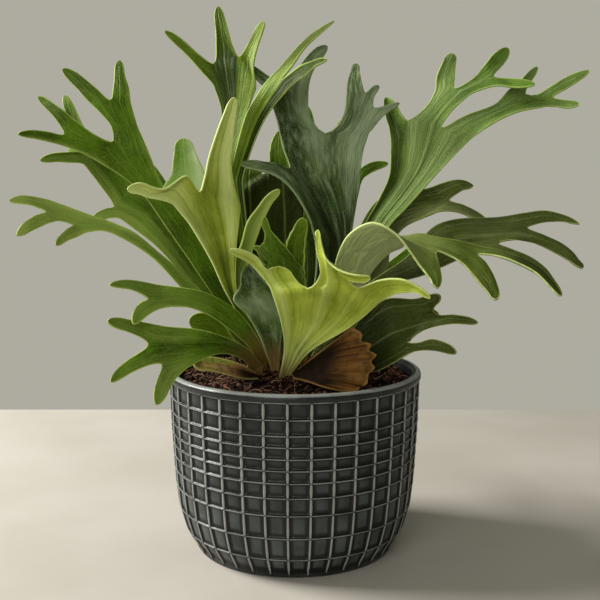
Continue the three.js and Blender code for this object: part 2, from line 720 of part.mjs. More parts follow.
        tip: [113, 232.5, 36],
      },
      { rows: [[107, 220.5, 102.5, 216, 31, 27], [114.5, 217, 111, 213, 29, 25]], tip: [123, 208.5, 22] },
    ],
  },
  frond_right_long: {
    kind: 'mature',
    cup: -0.08,
    rows: [
      [16, 118, 21.5, 116.5, 8, 8], [37, 161, 44, 155.5, 8, 4], [54, 175, 60.5, 169, 8, 2],
      [72, 188, 83, 176, 8, -4], [90.5, 208, 107.5, 187, 10, -8],
    ],
    fork: [[130.5, 213, 8], [148, 206, 0], [129, 196.5, -6], [117, 190.5, -12]],
    kids: [
      {
        rows: [
          [147, 215.5, 156, 209, 6, 0], [158.5, 217, 164.5, 210, 2, -2], [170, 214.5, 173, 209.5, -2, -6],
        ],
        tip: [181, 208.5, -10],
      },
      {
        rows: [
          [159.5, 201, 140.5, 198.5, -6, -8], [170, 196, 153.5, 196, -8, -10],
          [178, 190, 165.5, 190.5, -12, -14], [182.5, 184.5, 175.5, 185, -16, -18],
        ],
        tip: [184.5, 180.5, -20],
      },
      {
        rows: [
          [138.5, 192.5, 131, 187.5, -12, -16], [150.5, 187.5, 143.5, 182.5, -20, -24],
          [161, 179.5, 154.5, 176.5, -28, -30], [167, 172, 162.5, 169, -34, -34],
        ],
        tip: [171.5, 162.5, -38],
      },
    ],
  },
  frond_right_arching: {
    kind: 'bright',
    cup: -0.06,
    rows: [
      [11, 114, 17.5, 114, -14, -14], [17.5, 140.5, 26.5, 139, -22, -20],
      [24.5, 165.5, 41.5, 164.5, -34, -22], [26.5, 186, 51.5, 180, -46, -24],
      [35, 202, 61.5, 190.5, -60, -26], [50, 209.5, 69.5, 194.5, -70, -30],
      [63.5, 203, 68.5, 198.5, -74, -32], [74.5, 190, 79, 202, -74, -36],
    ],
    fork: [[80, 182, -74], [91, 191.5, -58], [92.5, 199.5, -42]],
    kids: [
      {
        rows: [[84, 176.5, 92.5, 183.5, -77, -68], [87.5, 171.5, 94, 174.5, -80, -76]],
        tip: [91, 167.5, -82],
      },
      {
        rows: [[101, 187, 106.5, 197, -58, -44]],
        fork: [[106.5, 183.5, -60], [116.5, 189, -52], [119.5, 194, -44]],
        kids: [
          {
            rows: [
              [112.5, 177.5, 121.5, 184.5, -63, -57], [119, 170, 127, 176, -67, -62],
              [125, 163, 130.5, 167.5, -72, -69],
            ],
            tip: [129.5, 160, -76],
          },
          {
            rows: [
              [125.5, 189, 128.5, 192.5, -54, -46], [135, 187, 137.5, 189.5, -58, -50],
              [145, 182.5, 147, 186, -62, -54], [154.5, 177, 157, 179.5, -66, -60],
              [163, 169, 165.5, 171.5, -70, -66],
            ],
            tip: [171, 162.5, -72],
          },
        ],
      },
    ],
  },
  frond_right_low: {
    kind: 'mature',
    cup: -0.1,
    rows: [
      [17.5, 113.5, 24, 108.5, -24, -24], [30.5, 130, 37, 111.5, -34, -38],
      [44.5, 149, 53.5, 113.5, -42, -50], [58.5, 160, 65.5, 119.5, -46, -56],
    ],
    fork: [[75.5, 160.5, -52], [89.5, 152.5, -58], [73.5, 132.5, -60], [71, 123, -60]],
    kids: [
      { rows: [[84.5, 162.5, 91, 156.5, -57, -60]], tip: [93.5, 162.5, -62] },
      {
        rows: [
          [93.5, 150, 83, 140, -60, -62], [102, 150.5, 99, 144, -66, -67],
          [109.5, 149.5, 108.5, 144, -70, -71],
        ],
        tip: [118, 145, -74],
      },
      {
        rows: [
          [79.5, 132, 77, 126, -62, -63], [88.5, 134.5, 87.5, 127, -66, -66],
          [98, 132, 96.5, 125.5, -70, -70],
        ],
        tip: [104.5, 125, -74],
      },
    ],
  },
  frond_front_centre: {
    kind: 'young',
    cup: 0.12,
    rows: [[-10, 108.5, -3, 110, -38, -38], [-7, 126, 10, 126, -46, -48], [-9, 146, 37, 143, -52, -60]],
    fork: [[-14.5, 165, -52], [8.5, 167.5, -64], [42, 168.5, -74], [53.5, 157.5, -70]],
    kids: [
      {
        rows: [[-18, 171, 3, 171, -48, -58]],
        fork: [[-21.5, 175.5, -45], [-17.5, 179.5, -46], [-1.5, 176.5, -54]],
        kids: [
          {
            rows: [[-27.5, 182, -23.5, 187, -44, -46], [-33, 186, -30, 191, -46, -48]],
            tip: [-41.5, 192.5, -50],
          },
          { rows: [], tip: [-9.5, 181.5, -50] },
        ],
      },
      {
        rows: [[13.5, 171, 38.5, 169.5, -66, -76], [16.5, 178, 35.5, 172.5, -67, -77]],
        fork: [[17, 184.5, -68], [21, 187.5, -76], [35, 172.5, -80]],
        kids: [
          {
            rows: [[14, 193.5, 19.5, 192, -68, -72], [13.5, 200.5, 17.5, 199.5, -68, -70]],
            tip: [15, 204.5, -68],
          },
          {
            rows: [[27.5, 180.5, 38, 171.5, -81, -83], [38, 176.5, 43, 171, -85, -85]],
            tip: [48.5, 174.5, -86],
          },
        ],
      },
      {
        rows: [
          [53, 172.5, 58.5, 160.5, -78, -76], [61.5, 174, 65, 163.5, -82, -80],
          [70.5, 173.5, 73, 164.5, -86, -84], [78.5, 170, 79, 164, -88, -88],
        ],
        tip: [87.5, 161, -92],
      },
    ],
  },
  frond_torn: {
    kind: 'mature',
    cup: 0.05,
    rows: [
      [-7.5, 116.5, -2.5, 116.5, -20, -20], [-12, 140.5, -3, 140.5, -22, -22],
      [-18.5, 162.5, 7.5, 160, -24, -20],
    ],
    fork: [[-22, 184.5, -24], [-20, 196.5, -24], [3.5, 184.5, -18]],
    kids: [
      { rows: [[-24.5, 191.5, -22, 194.5, -23, -23]], tip: [-26.5, 194, -23] },
      {
        rows: [[-20, 201, -7.5, 197, -27, -25], [-21, 206.5, -14.5, 204.5, -28, -27]],
        tip: [-19, 213.5, -30],
      },
    ],
  },
  frond_young_narrow: {
    kind: 'young',
    cup: 0.2,
    rows: [
      [-17.5, 118.5, -14, 120, -11, -11], [-29, 140.5, -23.5, 141.5, -14, -14],
      [-41.5, 162.5, -35, 163.5, -18, -16], [-40, 179, -31, 178, -20, -16],
      [-33.5, 196.5, -25.5, 196, -20, -16], [-29.5, 210, -21, 208, -20, -16],
      [-24, 218, -17.5, 215.5, -20, -17], [-19, 225.5, -13, 223, -20, -18],
    ],
    tip: [-9.5, 230.5, -20],
  },
  frond_young_cupped: {
    kind: 'young',
    cup: 0.3,
    rows: [
      [3.5, 118, 8, 118, -10, -10], [3.5, 147, 8.5, 147, -12, -12], [-0.5, 170, 7, 170, -14, -14],
      [-5, 187, 6.5, 184.5, -16, -16], [-6, 195, 7, 194.5, -18, -16], [-1.5, 205, 8, 203, -18, -18],
    ],
    tip: [5.5, 212.5, -20],
  },
  frond_left_low_upper: {
    kind: 'mature',
    cup: -0.12,
    rows: [
      [-24.5, 115.5, -18.5, 120, -26, -26], [-27.5, 127, -22, 130.5, -36, -35],
      [-37.5, 137.5, -28, 141.5, -42, -40], [-51.5, 148, -38, 153.5, -50, -44],
      [-66, 154.5, -57, 164.5, -58, -50],
    ],
    fork: [[-80, 155.5, -66], [-94.5, 160.5, -68], [-86.5, 169, -58]],
    kids: [
      { rows: [[-93, 151, -99.5, 158, -72, -72]], tip: [-104, 144, -80] },
      { rows: [[-105.5, 166.5, -105, 172.5, -72, -70]], tip: [-119, 169.5, -80] },
    ],
  },
  frond_left_low: {
    kind: 'mature',
    cup: -0.12,
    rows: [
      [-26.5, 114, -21, 117.5, -31, -31], [-36.5, 123, -29.5, 127, -46, -42],
      [-49.5, 125, -43, 134.5, -56, -50], [-68, 116.5, -63.5, 140.5, -66, -58],
    ],
    fork: [[-76, 109.5, -72], [-86.5, 118, -72], [-95, 131, -68], [-81.5, 142.5, -62]],
    kids: [
      { rows: [[-82, 100, -89.5, 107.5, -76, -76]], tip: [-90, 91, -82] },
      { rows: [[-106.5, 112, -109.5, 119.5, -78, -76]], tip: [-119.5, 106, -84] },
      { rows: [[-109, 139.5, -108, 147.5, -74, -70]], tip: [-120.5, 146, -80] },
    ],
  },
  frond_young_silver: {
    kind: 'silver',
    cup: 0.12,
    rows: [
      [-15.5, 114, -10, 114.5, -28, -28], [-21, 133, -9, 132.5, -30, -28],
      [-30.5, 149.5, -8, 148, -32, -28], [-39.5, 160.5, -12, 165, -32, -28],
      [-34.5, 170, -21, 174, -30, -26],
    ],
    tip: [-30.5, 182, -28],
  },
  frond_scrap: {
    kind: 'young',
    cup: 0.1,
    rows: [
      [-30.5, 118, -27, 119.5, -18, -18], [-44, 132, -40, 136.5, -24, -24],
      [-54, 137.5, -50, 149, -28, -28], [-62.5, 139.5, -57.5, 152.5, -30, -30],
    ],
    tip: [-68, 146, -32],
  },
  shield_front: {
    kind: 'brown',
    cup: -0.08,
    rows: [
      [-2.5, 108.5, 1, 112.5, -42, -41], [8.5, 106, 12.5, 122, -51, -45], [21, 102, 25.5, 132.5, -58, -49],
    ],
    margin: [
      [34, 99.5, -62], [40.5, 100, -64], [43, 103, -62], [47, 105, -65], [48, 111.5, -62],
      [52, 115.5, -64], [49.5, 119.5, -61], [53, 124, -63], [48, 127, -60], [49.5, 131, -61],
      [43, 133, -57], [43.5, 137.5, -58], [37, 142.5, -53],
    ],
  },
  shield_left: {
    kind: 'brown',
    cup: -0.15,
    rows: [
      [-22.5, 107.5, -24.5, 110.5, -40, -38], [-33.5, 108, -35.5, 117.5, -49, -45],
      [-47, 111.5, -50.5, 122, -54, -48], [-56.5, 113.5, -59.5, 122.5, -56, -50],
    ],
    tip: [-65.5, 118, -56],
  },
  frond_back_centre: {
    kind: 'mature',
    cup: -0.08,
    rows: [[1, 119.5, 6.5, 119.5, 16, 16], [6, 160, 17.5, 160, 30, 30], [4.5, 201.5, 27.5, 200.5, 44, 46]],
    fork: [[3.5, 237.5, 60], [17, 249, 64], [35, 236.5, 62], [39, 222.5, 58]],
    kids: [
      { rows: [[2, 264.5, 13.5, 264, 74, 72]], tip: [7, 282.5, 82] },
      { rows: [[22, 258, 32.5, 254, 70, 72]], tip: [32, 276, 84] },
      { rows: [[44, 245, 44, 238, 66, 62]], tip: [59, 246.5, 66] },
    ],
  },
  frond_back_right: {
    kind: 'mature',
    cup: -0.1,
    rows: [
      [15, 125, 19.5, 122.5, 26, 26], [43, 167.5, 51, 158.5, 52, 50], [76.5, 197, 83.5, 185.5, 78, 72],
    ],
    fork: [[96.5, 208.5, 92], [106.5, 201, 86], [100.5, 192, 82]],
    kids: [
      { rows: [[118, 211, 120.5, 203, 102, 98]], tip: [143.5, 210.5, 112] },
      { rows: [[118, 199.5, 115.5, 192.5, 92, 88]], tip: [135, 192, 98] },
    ],
  },
  frond_back_left: {
    kind: 'mature',
    cup: -0.08,
    rows: [
      [-18.5, 126.5, -13.5, 127, 20, 20], [-46.5, 162.5, -39.5, 167.5, 40, 40],
      [-83, 210, -71.5, 217.5, 62, 60], [-105.5, 235, -87.5, 244, 76, 74],
    ],
    fork: [[-121.5, 246, 86], [-117.5, 251.5, 90], [-100, 254, 88]],
    kids: [
      { rows: [[-133, 250, -130, 256.5, 98, 98]], tip: [-143, 255, 110] },
      { rows: [[-125, 254, -112.5, 256.5, 102, 102]], tip: [-130, 261.5, 114] },
    ],
  },
  frond_back_low_left: {
    kind: 'mature',
    cup: -0.1,
    rows: [
      [-17.5, 123, -11.5, 124, 26, 30], [-36.5, 140.5, -34, 150.5, 48, 50], [-57, 153.5, -53, 162, 66, 66],
    ],
    fork: [[-71, 156, 76], [-73.5, 159, 78], [-70, 163, 76]],
    kids: [
      { rows: [[-79, 156.5, -79, 160.5, 82, 82]], tip: [-92, 158, 86] },
      { rows: [[-81.5, 161, -80, 164.5, 86, 84]], tip: [-98, 167.5, 92] },
    ],
  },
  frond_back_low_right: {
    kind: 'mature',
    cup: -0.1,
    rows: [[6, 124.5, 12, 123, 34, 32], [32.5, 143, 37, 132.5, 54, 50], [53.5, 153.5, 57.5, 137.5, 68, 64]],
    fork: [[69, 156.5, 76], [73, 147, 76], [68, 136.5, 72]],
    kids: [
      { rows: [[80.5, 156.5, 82, 149.5, 84, 84]], tip: [92.5, 150.5, 92] },
      { rows: [[75.5, 145.5, 73, 138.5, 82, 80]], tip: [83.5, 143.5, 88] },
    ],
  },
  frond_back_drooping: {
    kind: 'mature',
    cup: -0.12,
    rows: [[-1.5, 126, 3.5, 126, 34, 34], [1, 152, 8.5, 152, 58, 58], [1, 167.5, 17.5, 169, 88, 84]],
    fork: [[-0.5, 162.5, 108], [8.5, 160, 116], [19, 161, 116], [28, 163.5, 106]],
    kids: [
      { rows: [[-1, 152, 5.5, 150.5, 122, 124]], tip: [-0.5, 140.5, 134] },
      { rows: [[10, 148, 17.5, 148, 132, 132]], tip: [14, 135, 146] },
      { rows: [[22.5, 152, 30.5, 154.5, 126, 122]], tip: [33, 141.5, 136] },
    ],
  },
  shield_back: {
    kind: 'brown',
    cup: -0.1,
    rows: [[-11, 120.5, -5.5, 122, 40, 42], [-24, 126, -13.5, 134, 52, 58]],
    margin: [
      [-30, 127, 60], [-33, 130.5, 62], [-31.5, 134, 64], [-34, 137, 66], [-31, 139.5, 68], [-28, 143, 70],
      [-24.5, 143, 72], [-21, 145.5, 73], [-17, 143, 73],
    ],
  },
};

// The hole that a stalk stands in: the frond itself, a little larger all round
function stalkHole(frond) {
  const wider = ([xl, zl, xr, zr, dl, dr]) => {
    const side = new THREE.Vector3(xr - xl, dr - dl, 0).normalize().multiplyScalar(HOLE_GAP);
    return [xl - side.x, zl, xr + side.x, zr, dl - side.y, dr + side.y];
  };
  return toSolid(frondGeometry({ ...frond, rows: frond.rows.map(wider) }, HOLE_GAP));
}

// The biggest of the bodies that a cut leaves, without its loose crumbs
function biggest(solid) {
  return solid.decompose().sort((a, b) => b.volume() - a.volume())[0];
}

const glaze = new THREE.MeshStandardMaterial({ color: 0x4b5049, roughness: 0.3, metalness: 0 });
const earth = new THREE.MeshStandardMaterial({ color: 0x2b1c13, roughness: 0.95, metalness: 0 });
const rhizome = new THREE.MeshStandardMaterial({ color: 0x4a3424, roughness: 0.95, metalness: 0 });
const leaf = {
  mature: new THREE.MeshStandardMaterial({ color: 0x3f5c14, roughness: 0.5, metalness: 0 }),
  tall: new THREE.MeshStandardMaterial({ color: 0x4f6c1c, roughness: 0.5, metalness: 0 }),
  bright: new THREE.MeshStandardMaterial({ color: 0x5f8030, roughness: 0.5, metalness: 0 }),
  young: new THREE.MeshStandardMaterial({ color: 0x93a03e, roughness: 0.55, metalness: 0 }),
  silver: new THREE.MeshStandardMaterial({ color: 0x55694a, roughness: 0.7, metalness: 0 }),
  brown: new THREE.MeshStandardMaterial({ color: 0x6e4e2c, roughness: 0.8, metalness: 0 }),
};

function named(name, geometry, material) {
  const mesh = new THREE.Mesh(geometry, material);
  mesh.name = name;
  return mesh;
}

const fern = new THREE.Group();
fern.add(named('pot', potGeometry(), glaze));
fern.add(named('soil', soilGeometry(), earth));
let crown = toSolid(crownGeometry());
for (const [name, frond] of Object.entries(FRONDS)) {
  fern.add(named(name, frondGeometry(frond), leaf[frond.kind]));
  crown = crown.subtract(stalkHole(frond));
}
fern.add(named('crown', fromSolid(biggest(crown)), rhizome));

export default fern;
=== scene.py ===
import bisect
import math
import random

import bmesh
import bpy
from mathutils import Matrix, Vector, kdtree, noise


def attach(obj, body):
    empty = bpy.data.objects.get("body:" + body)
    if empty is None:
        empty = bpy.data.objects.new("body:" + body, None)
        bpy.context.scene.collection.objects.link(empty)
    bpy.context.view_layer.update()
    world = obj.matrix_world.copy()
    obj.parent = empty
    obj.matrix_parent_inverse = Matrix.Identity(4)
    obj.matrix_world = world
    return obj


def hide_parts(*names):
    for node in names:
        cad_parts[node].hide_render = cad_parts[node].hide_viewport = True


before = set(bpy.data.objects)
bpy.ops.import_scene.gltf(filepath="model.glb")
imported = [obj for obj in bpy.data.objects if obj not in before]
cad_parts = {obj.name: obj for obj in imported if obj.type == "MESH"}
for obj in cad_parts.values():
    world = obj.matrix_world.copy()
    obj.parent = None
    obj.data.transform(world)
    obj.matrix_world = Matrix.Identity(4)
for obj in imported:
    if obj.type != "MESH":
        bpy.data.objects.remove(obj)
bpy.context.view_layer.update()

# The camera. It stands in front of the pot at the height of the fronds' middle and looks a little
# down. The fronds' outlines further on are laid out as they look from this place.
MM = 0.001
EYE_DISTANCE = 615
EYE_HEIGHT = 239.5
EYE_PITCH = math.radians(7.378)
LENS = 57.92
SIDE_SHIFT = 0.0088

camera = bpy.data.objects.new("camera", bpy.data.cameras.new("camera"))
camera.data.lens = LENS
camera.data.shift_x = SIDE_SHIFT
camera.location = (0, -EYE_DISTANCE * MM, EYE_HEIGHT * MM)
camera.rotation_euler = (math.pi / 2 - EYE_PITCH, 0, 0)
bpy.context.collection.objects.link(camera)
bpy.context.scene.camera = camera

# The pot. It is thick cast stoneware in a glossy dark grey glaze, with a net of upright and level
# ribs raised on its outside. The glaze runs thin and pale on the ribs and pools dark beside them, and
# painted shade darkens the lower part of each panel and the panels of the upper pot.
RIB_COUNT = 36
RIB_SPACING = 360 / RIB_COUNT
FIRST_RIB_ANGLE = -93
RIB_DEPTH = 1.4
RIB_REACH = 1.3
PANEL_RISE = 0.35
WAIST = 0.6
POT_WALL = 5.4
POT_HEIGHT = 116
LIP_HEIGHT = 1.1
LIP_WIDTH = 3
# Radius and height of the level ribs, of the foot under them, and of the inside's floor as steps inwards
NET_RINGS = [
    (65.5, 4.2), (71.2, 14.1), (75.5, 28.7), (77.4, 43.2), (78.3, 54), (78.8, 63.1),
    (79.2, 70.6), (79.6, 77.6), (79.9, 84.7), (80.1, 91.5), (80.4, 100.9), (80.7, 110.9),
]
FOOT_RINGS = [(52, 0.6), (57, 0), (62.3, 0), (63.8, 1)]
FLOOR_STEPS = [(4, 16), (12, 8)]
# Steps over the rim: how far out from the rim band or the inside wall, and how far below the top
RIM_OUTSIDE = [(0.5, 2.2), (0.1, 1), (-0.7, 0.3), (-2.2, 0)]
RIM_INSIDE = [(1.6, 0.2), (0.4, 1.1), (0, 2.5)]
# Steps from a rib's middle to the next, in degrees for an upright rib and in mm for a level one: how far,
# how much of the rib's height is left there, and how much of the panel's thin, lighter glaze there is.
# The glaze pools dark beside each rib, and the lower part of each panel is painted dark as painted shade.
UPRIGHT_STEPS = [(0, 1, 0), (0.55, 0.85, 0), (0.9, 0.3, 0), (1.25, 0, 0), (2, 0, 0.1), (2.9, 0, 1)]
ABOVE_STEPS = [(0, 1, 0), (0.42, 0.7, 0), (0.85, 0, 0), (2.5, 0, 0.1), (4.1, 0, 1)]
BELOW_STEPS = [(0, 1, 0), (0.42, 0.7, 0), (0.85, 0, 0.2), (1.7, 0, 1)]
# How worn and pale the glaze is on the lip, the smooth parts and the level ribs, and how much less where
# ribs cross. The lip's pale glaze is partly a painted highlight, and the level ribs are painted a little
# dimmer than the upright ones as painted shade, since the light falls from the side.
LIP_CREST = 0.85
PLAIN_CREST = 0.3
LEVEL_CREST = 0.85
CROSSING_LOSS = 0.35
# How thin the glaze is on the smooth parts
PLAIN_PANEL = 0.6
# Glaze colours: dark where the glaze pools and where painted shade lies, lighter where it is thin, and pale
# where it is worn, which on the lip is partly a painted highlight.
GLAZE_POOLED_AND_SHADED = "090b0a"
GLAZE_THIN = "4b5250"
GLAZE_WORN_AND_LIT = "8e938e"


def rgb(code):
    """The shader colour of a web colour code."""
    channels = [int(code[i:i + 2], 16) / 255 for i in (0, 2, 4)]
    return tuple(((c + 0.055) / 1.055) ** 2.4 if c > 0.04045 else c / 12.92 for c in channels) + (1,)


class Finish:
    """A node material, built up with one short call for each node."""

    def __init__(self, name, roughness, specular=0.5):
        self.material = bpy.data.materials.new(name)
        self.material.use_nodes = True
        self.tree = self.material.node_tree
        self.shader = self.tree.nodes["Principled BSDF"]
        self.shader.inputs["Roughness"].default_value = roughness
        self.shader.inputs["Specular IOR Level"].default_value = specular

    def node(self, kind, settings=None, **inputs):
        made = self.tree.nodes.new("ShaderNode" + kind)
        for name, value in (settings or {}).items():
            setattr(made, name, value)
        for name, value in inputs.items():
            self.feed(made.inputs[name], value)
        return made

    def feed(self, socket, value):
        if isinstance(value, bpy.types.NodeSocket):
            self.tree.links.new(value, socket)
        else:
            socket.default_value = value

    def place(self):
        return self.node("TexCoord").outputs["Object"]

    def attribute(self, name, output="Fac"):
        return self.node("Attribute", {"attribute_name": name}).outputs[output]

    def stretched(self, vector, scale):
        made = self.node("VectorMath", {"operation": "MULTIPLY"})
        self.feed(made.inputs[0], vector)
        made.inputs[1].default_value = scale
        return made.outputs["Vector"]

    def noise(self, vector, scale=1.0, detail=3.0):
        return self.node("TexNoise", Vector=vector, Scale=scale, Detail=detail).outputs["Fac"]

    def cells(self, vector):
        """The way to the nearest border in a flat net of cells."""
        settings = {"feature": "DISTANCE_TO_EDGE", "voronoi_dimensions": "2D"}
        return self.node("TexVoronoi", settings, Vector=vector, Scale=1.0).outputs["Distance"]

    def math(self, operation, a, b):
        made = self.node("Math", {"operation": operation})
        self.feed(made.inputs[0], a)
        self.feed(made.inputs[1], b)
        return made.outputs[0]

    def times(self, a, b):
        return self.math("MULTIPLY", a, b)

    def band(self, value, low, high, start=0.0, end=1.0):
        """Turns a value from low to high smoothly into one from start to end."""
        made = self.node("MapRange", {"interpolation_type": "SMOOTHSTEP"})
        self.feed(made.inputs["Value"], value)
        for name, number in (("From Min", low), ("From Max", high), ("To Min", start), ("To Max", end)):
            made.inputs[name].default_value = number
        return made.outputs["Result"]

    def mix(self, factor, first, second):
        made = self.node("Mix", {"data_type": "RGBA"})
        for index, value in ((0, factor), (6, first), (7, second)):
            self.feed(made.inputs[index], rgb(value) if isinstance(value, str) else value)
        return made.outputs[2]

    def colour(self, value):
        self.feed(self.shader.inputs["Base Color"], value)

    def roughness(self, value):
        self.feed(self.shader.inputs["Roughness"], value)

    def bump(self, height, distance, strength=1.0):
        made = self.node("Bump", Height=height, Distance=distance, Strength=strength)
        self.feed(self.shader.inputs["Normal"], made.outputs["Normal"])


def add_piece(name, maker, materials):
    """Makes a piece of a finished bmesh, with its finish, and lets it ride with the plant."""
    mesh = bpy.data.meshes.new(name)
    maker.to_mesh(mesh)
    maker.free()
    mesh.shade_smooth()
    for material in materials:
        mesh.materials.append(material)
    piece = bpy.data.objects.new(name, mesh)
    bpy.context.collection.objects.link(piece)
    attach(piece, "root")
    return piece


def extruded(maker, edges):
    """Extrudes edges where they lie, and gives back the new points and the new edges."""
    grown = bmesh.ops.extrude_edge_only(maker, edges=edges)["geom"]
    points = [part for part in grown if isinstance(part, bmesh.types.BMVert)]
    return points, [part for part in grown if isinstance(part, bmesh.types.BMEdge)]


def close_holes(maker):
    bmesh.ops.holes_fill(maker, edges=[edge for edge in maker.edges if edge.is_boundary])


def rib_to_rib(gap, near, far):
    """The steps from the middle of one rib to just before the middle of the next."""
    return near + [(gap - place, rib, panel) for place, rib, panel in far[:0:-1]]


def net_rows():
    """Rows of the ribbed side, as radius, height, and shares of rib, panel and waist, on a smooth curve."""
    rows = []
    for at in range(len(NET_RINGS) - 1):
        (radius, low), (above, high) = NET_RINGS[at:at + 2]
        before, after = NET_RINGS[max(at - 1, 0)], NET_RINGS[min(at + 2, len(NET_RINGS) - 1)]
        gap = high - low
        rise = (above - before[0]) / (high - before[1]) * gap
        fall = (after[0] - radius) / (after[1] - low) * gap
        for place, rib, panel in rib_to_rib(gap, ABOVE_STEPS, BELOW_STEPS):
            t = place / gap
            lower = (radius * (1 + 2 * t) + rise * t) * (1 - t) ** 2
            upper = (above * (3 - 2 * t) - fall * (1 - t)) * t ** 2
            waist = WAIST + (1 - WAIST) * math.sin(math.pi * t)
            rows.append((lower + upper, low + place, (rib if at or t > 0.5 else 0, panel, waist)))
    return rows + [(*NET_RINGS[-1], (1, 0, WAIST))]


def pot_rows():
    """The pot's rows from its foot up the side, over the rim and down the inside to its floor."""
    band, band_height = NET_RINGS[-1]
    over_rim = [(band + RIM_OUTSIDE[0][0], band_height + 1)]
    over_rim += [(band + out, POT_HEIGHT - down) for out, down in RIM_OUTSIDE]
    over_rim += [(band - POT_WALL + out, POT_HEIGHT - down) for out, down in RIM_INSIDE]
    inside = [(radius - POT_WALL, height) for radius, height in NET_RINGS[2:-1:3]][::-1]
    floor_edge = [(inside[-1][0] - inwards, height) for inwards, height in FLOOR_STEPS]
    return ([(*row, None) for row in FOOT_RINGS] + net_rows()
            + [(*row, None) for row in over_rim + inside + floor_edge])


def pot_mesh():
    """A ring of points is drawn up the side row by row, and pressed in between the ribs."""
    maker = bmesh.new()
    column = maker.verts.layers.int.new("column")
    crest = maker.verts.layers.float.new("crest")
    panel = maker.verts.layers.float.new("panel")
    columns = [(FIRST_RIB_ANGLE + at * RIB_SPACING, place, rib, raised) for at in range(RIB_COUNT)
               for place, rib, raised in rib_to_rib(RIB_SPACING, UPRIGHT_STEPS, UPRIGHT_STEPS)]
    lip_radius = NET_RINGS[-1][0] - LIP_WIDTH
    ring = [maker.verts.new() for _ in columns]
    for number, vert in enumerate(ring):
        vert[column] = number
    edges = [maker.edges.new((ring[i - 1], ring[i])) for i in range(len(ring))]
    for number, (radius, height, level) in enumerate(pot_rows()):
        if number:
            ring, edges = extruded(maker, edges)
        on_lip = POT_HEIGHT - LIP_HEIGHT <= height and radius > lip_radius
        for vert in ring:
            start, place, rib, raised = columns[vert[column]]
            inwards = 0
            vert[panel] = PLAIN_PANEL
            vert[crest] = LIP_CREST if on_lip else PLAIN_CREST
            if level:
                level_rib, level_panel, waist = level
                vert[panel] = raised * level_panel
                vert[crest] = max(rib, LEVEL_CREST * level_rib) - CROSSING_LOSS * min(rib, level_rib)
                inwards = RIB_DEPTH * (1 - max(rib, level_rib)) - PANEL_RISE * vert[panel]
                if place <= RIB_REACH:
                    place *= waist
                elif place >= RIB_SPACING - RIB_REACH:
                    place = RIB_SPACING - (RIB_SPACING - place) * waist
            angle = math.radians(start + place)
            reach = (radius - inwards) * MM
            vert.co = (reach * math.cos(angle), reach * math.sin(angle), height * MM)
    close_holes(maker)
    bmesh.ops.recalc_face_normals(maker, faces=maker.faces)
    return maker


glaze = Finish("dark glaze", 0.25, specular=0.32)
spread = glaze.noise(glaze.place(), 60, 4)
# Pale worn glaze on the ribs and the lip; on the lip it is partly a painted highlight.
worn_and_lit = glaze.band(glaze.math("ADD", glaze.attribute("crest"), glaze.times(spread, 0.4)), 0.7, 1.1)
height = glaze.node("SeparateXYZ", Vector=glaze.place()).outputs["Z"]
# Painted shade: above 30 mm the panels' lighter glaze fades to 0.45 of its share by 80 mm, so the upper pot
# is darker.
lower = glaze.band(height, 0.03, 0.08, 1, 0.45)
thin = glaze.times(glaze.attribute("panel"), glaze.band(spread, 0.3, 0.7, 0.4, 1))
# Painted shade: the dark colour is mixed in where the glaze pools, in the lower part of each panel and over
# the upper pot.
pooled_and_shaded = glaze.mix(glaze.times(thin, lower), GLAZE_POOLED_AND_SHADED, GLAZE_THIN)
glaze.colour(glaze.mix(worn_and_lit, pooled_and_shaded, GLAZE_WORN_AND_LIT))
glaze.roughness(glaze.band(glaze.noise(glaze.place(), 400, 2), 0.3, 0.7, 0.26, 0.44))
glaze.bump(glaze.noise(glaze.place(), 220, 3), 0.00025, 0.5)

pot = add_piece("glazed_pot", pot_mesh(), [glaze.material])
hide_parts("pot")

# The soil. It is a loose mix of dark bark crumbs and chips and a few pale coir fibres, filled in to
# just under the rim and heaped a little over the crown, which stands in its middle.
SOIL_RADIUS = 74.6
SOIL_EDGE_HEIGHT = 110
CROWN_RADIUS = 52
CROWN_SHOULDER = 112.5
CROWN_TOP = 119.5
CRUMB_COUNT = 2600
CRUMB_SIZES = (0.6, 0.8, 1, 1.3, 1.7, 2.3)
CRUMB_SPREAD = (0.8, 1.2)
CRUMB_WIDTHS = (0.5, 1)
CRUMB_HEIGHTS = (0.4, 0.8)
CRUMB_RISE = (-0.3, 0.7)
CRUMB_LUMPS = (0.55, 1.35)
CHIP_COUNT = 520
CHIP_LENGTHS = (3, 7.5)
CHIP_WIDTHS = (0.9, 2.2)
CHIP_THICKNESSES = (0.5, 1)
CHIP_LUMPS = (0.65, 1.15)
CHIP_RISE = (0.2, 1.2)
CHIP_TILT = 0.4
FIBRE_COUNT = 700
FIBRE_WIDTHS = (0.12, 0.28)
FIBRE_STEPS = (3, 6)
FIBRE_STEP_LENGTHS = (1.2, 2.2)
FIBRE_CLIMB = (0.1, 0.9)
FIBRE_SINK = (0, 0.5)
FIBRE_TURN = 0.6
FIBRE_RISE = Vector((0, 0, 0.8))
BATCH = 65


def soil_height(radius):
    """Height of the soil, or of the crown in its middle, at a distance from the pot's axis."""
    if radius < CROWN_RADIUS:
        return CROWN_SHOULDER + (CROWN_TOP - CROWN_SHOULDER) * math.sqrt(1 - (radius / CROWN_RADIUS) ** 2)
    fall = SOIL_EDGE_HEIGHT - CROWN_SHOULDER
    return CROWN_SHOULDER + fall * (radius - CROWN_RADIUS) / (SOIL_RADIUS - CROWN_RADIUS)


def scattered_place(draw, inner, outer):
    radius = math.sqrt(draw.uniform(inner ** 2, outer ** 2))
    angle = draw.uniform(0, math.tau)
    return Vector((radius * math.cos(angle), radius * math.sin(angle), soil_height(radius)))


def random_turn(draw):
    angle = draw.uniform(0, math.tau)
    return Matrix.Rotation(angle, 4, Vector([draw.gauss(0, 1) for _ in range(3)]).normalized())


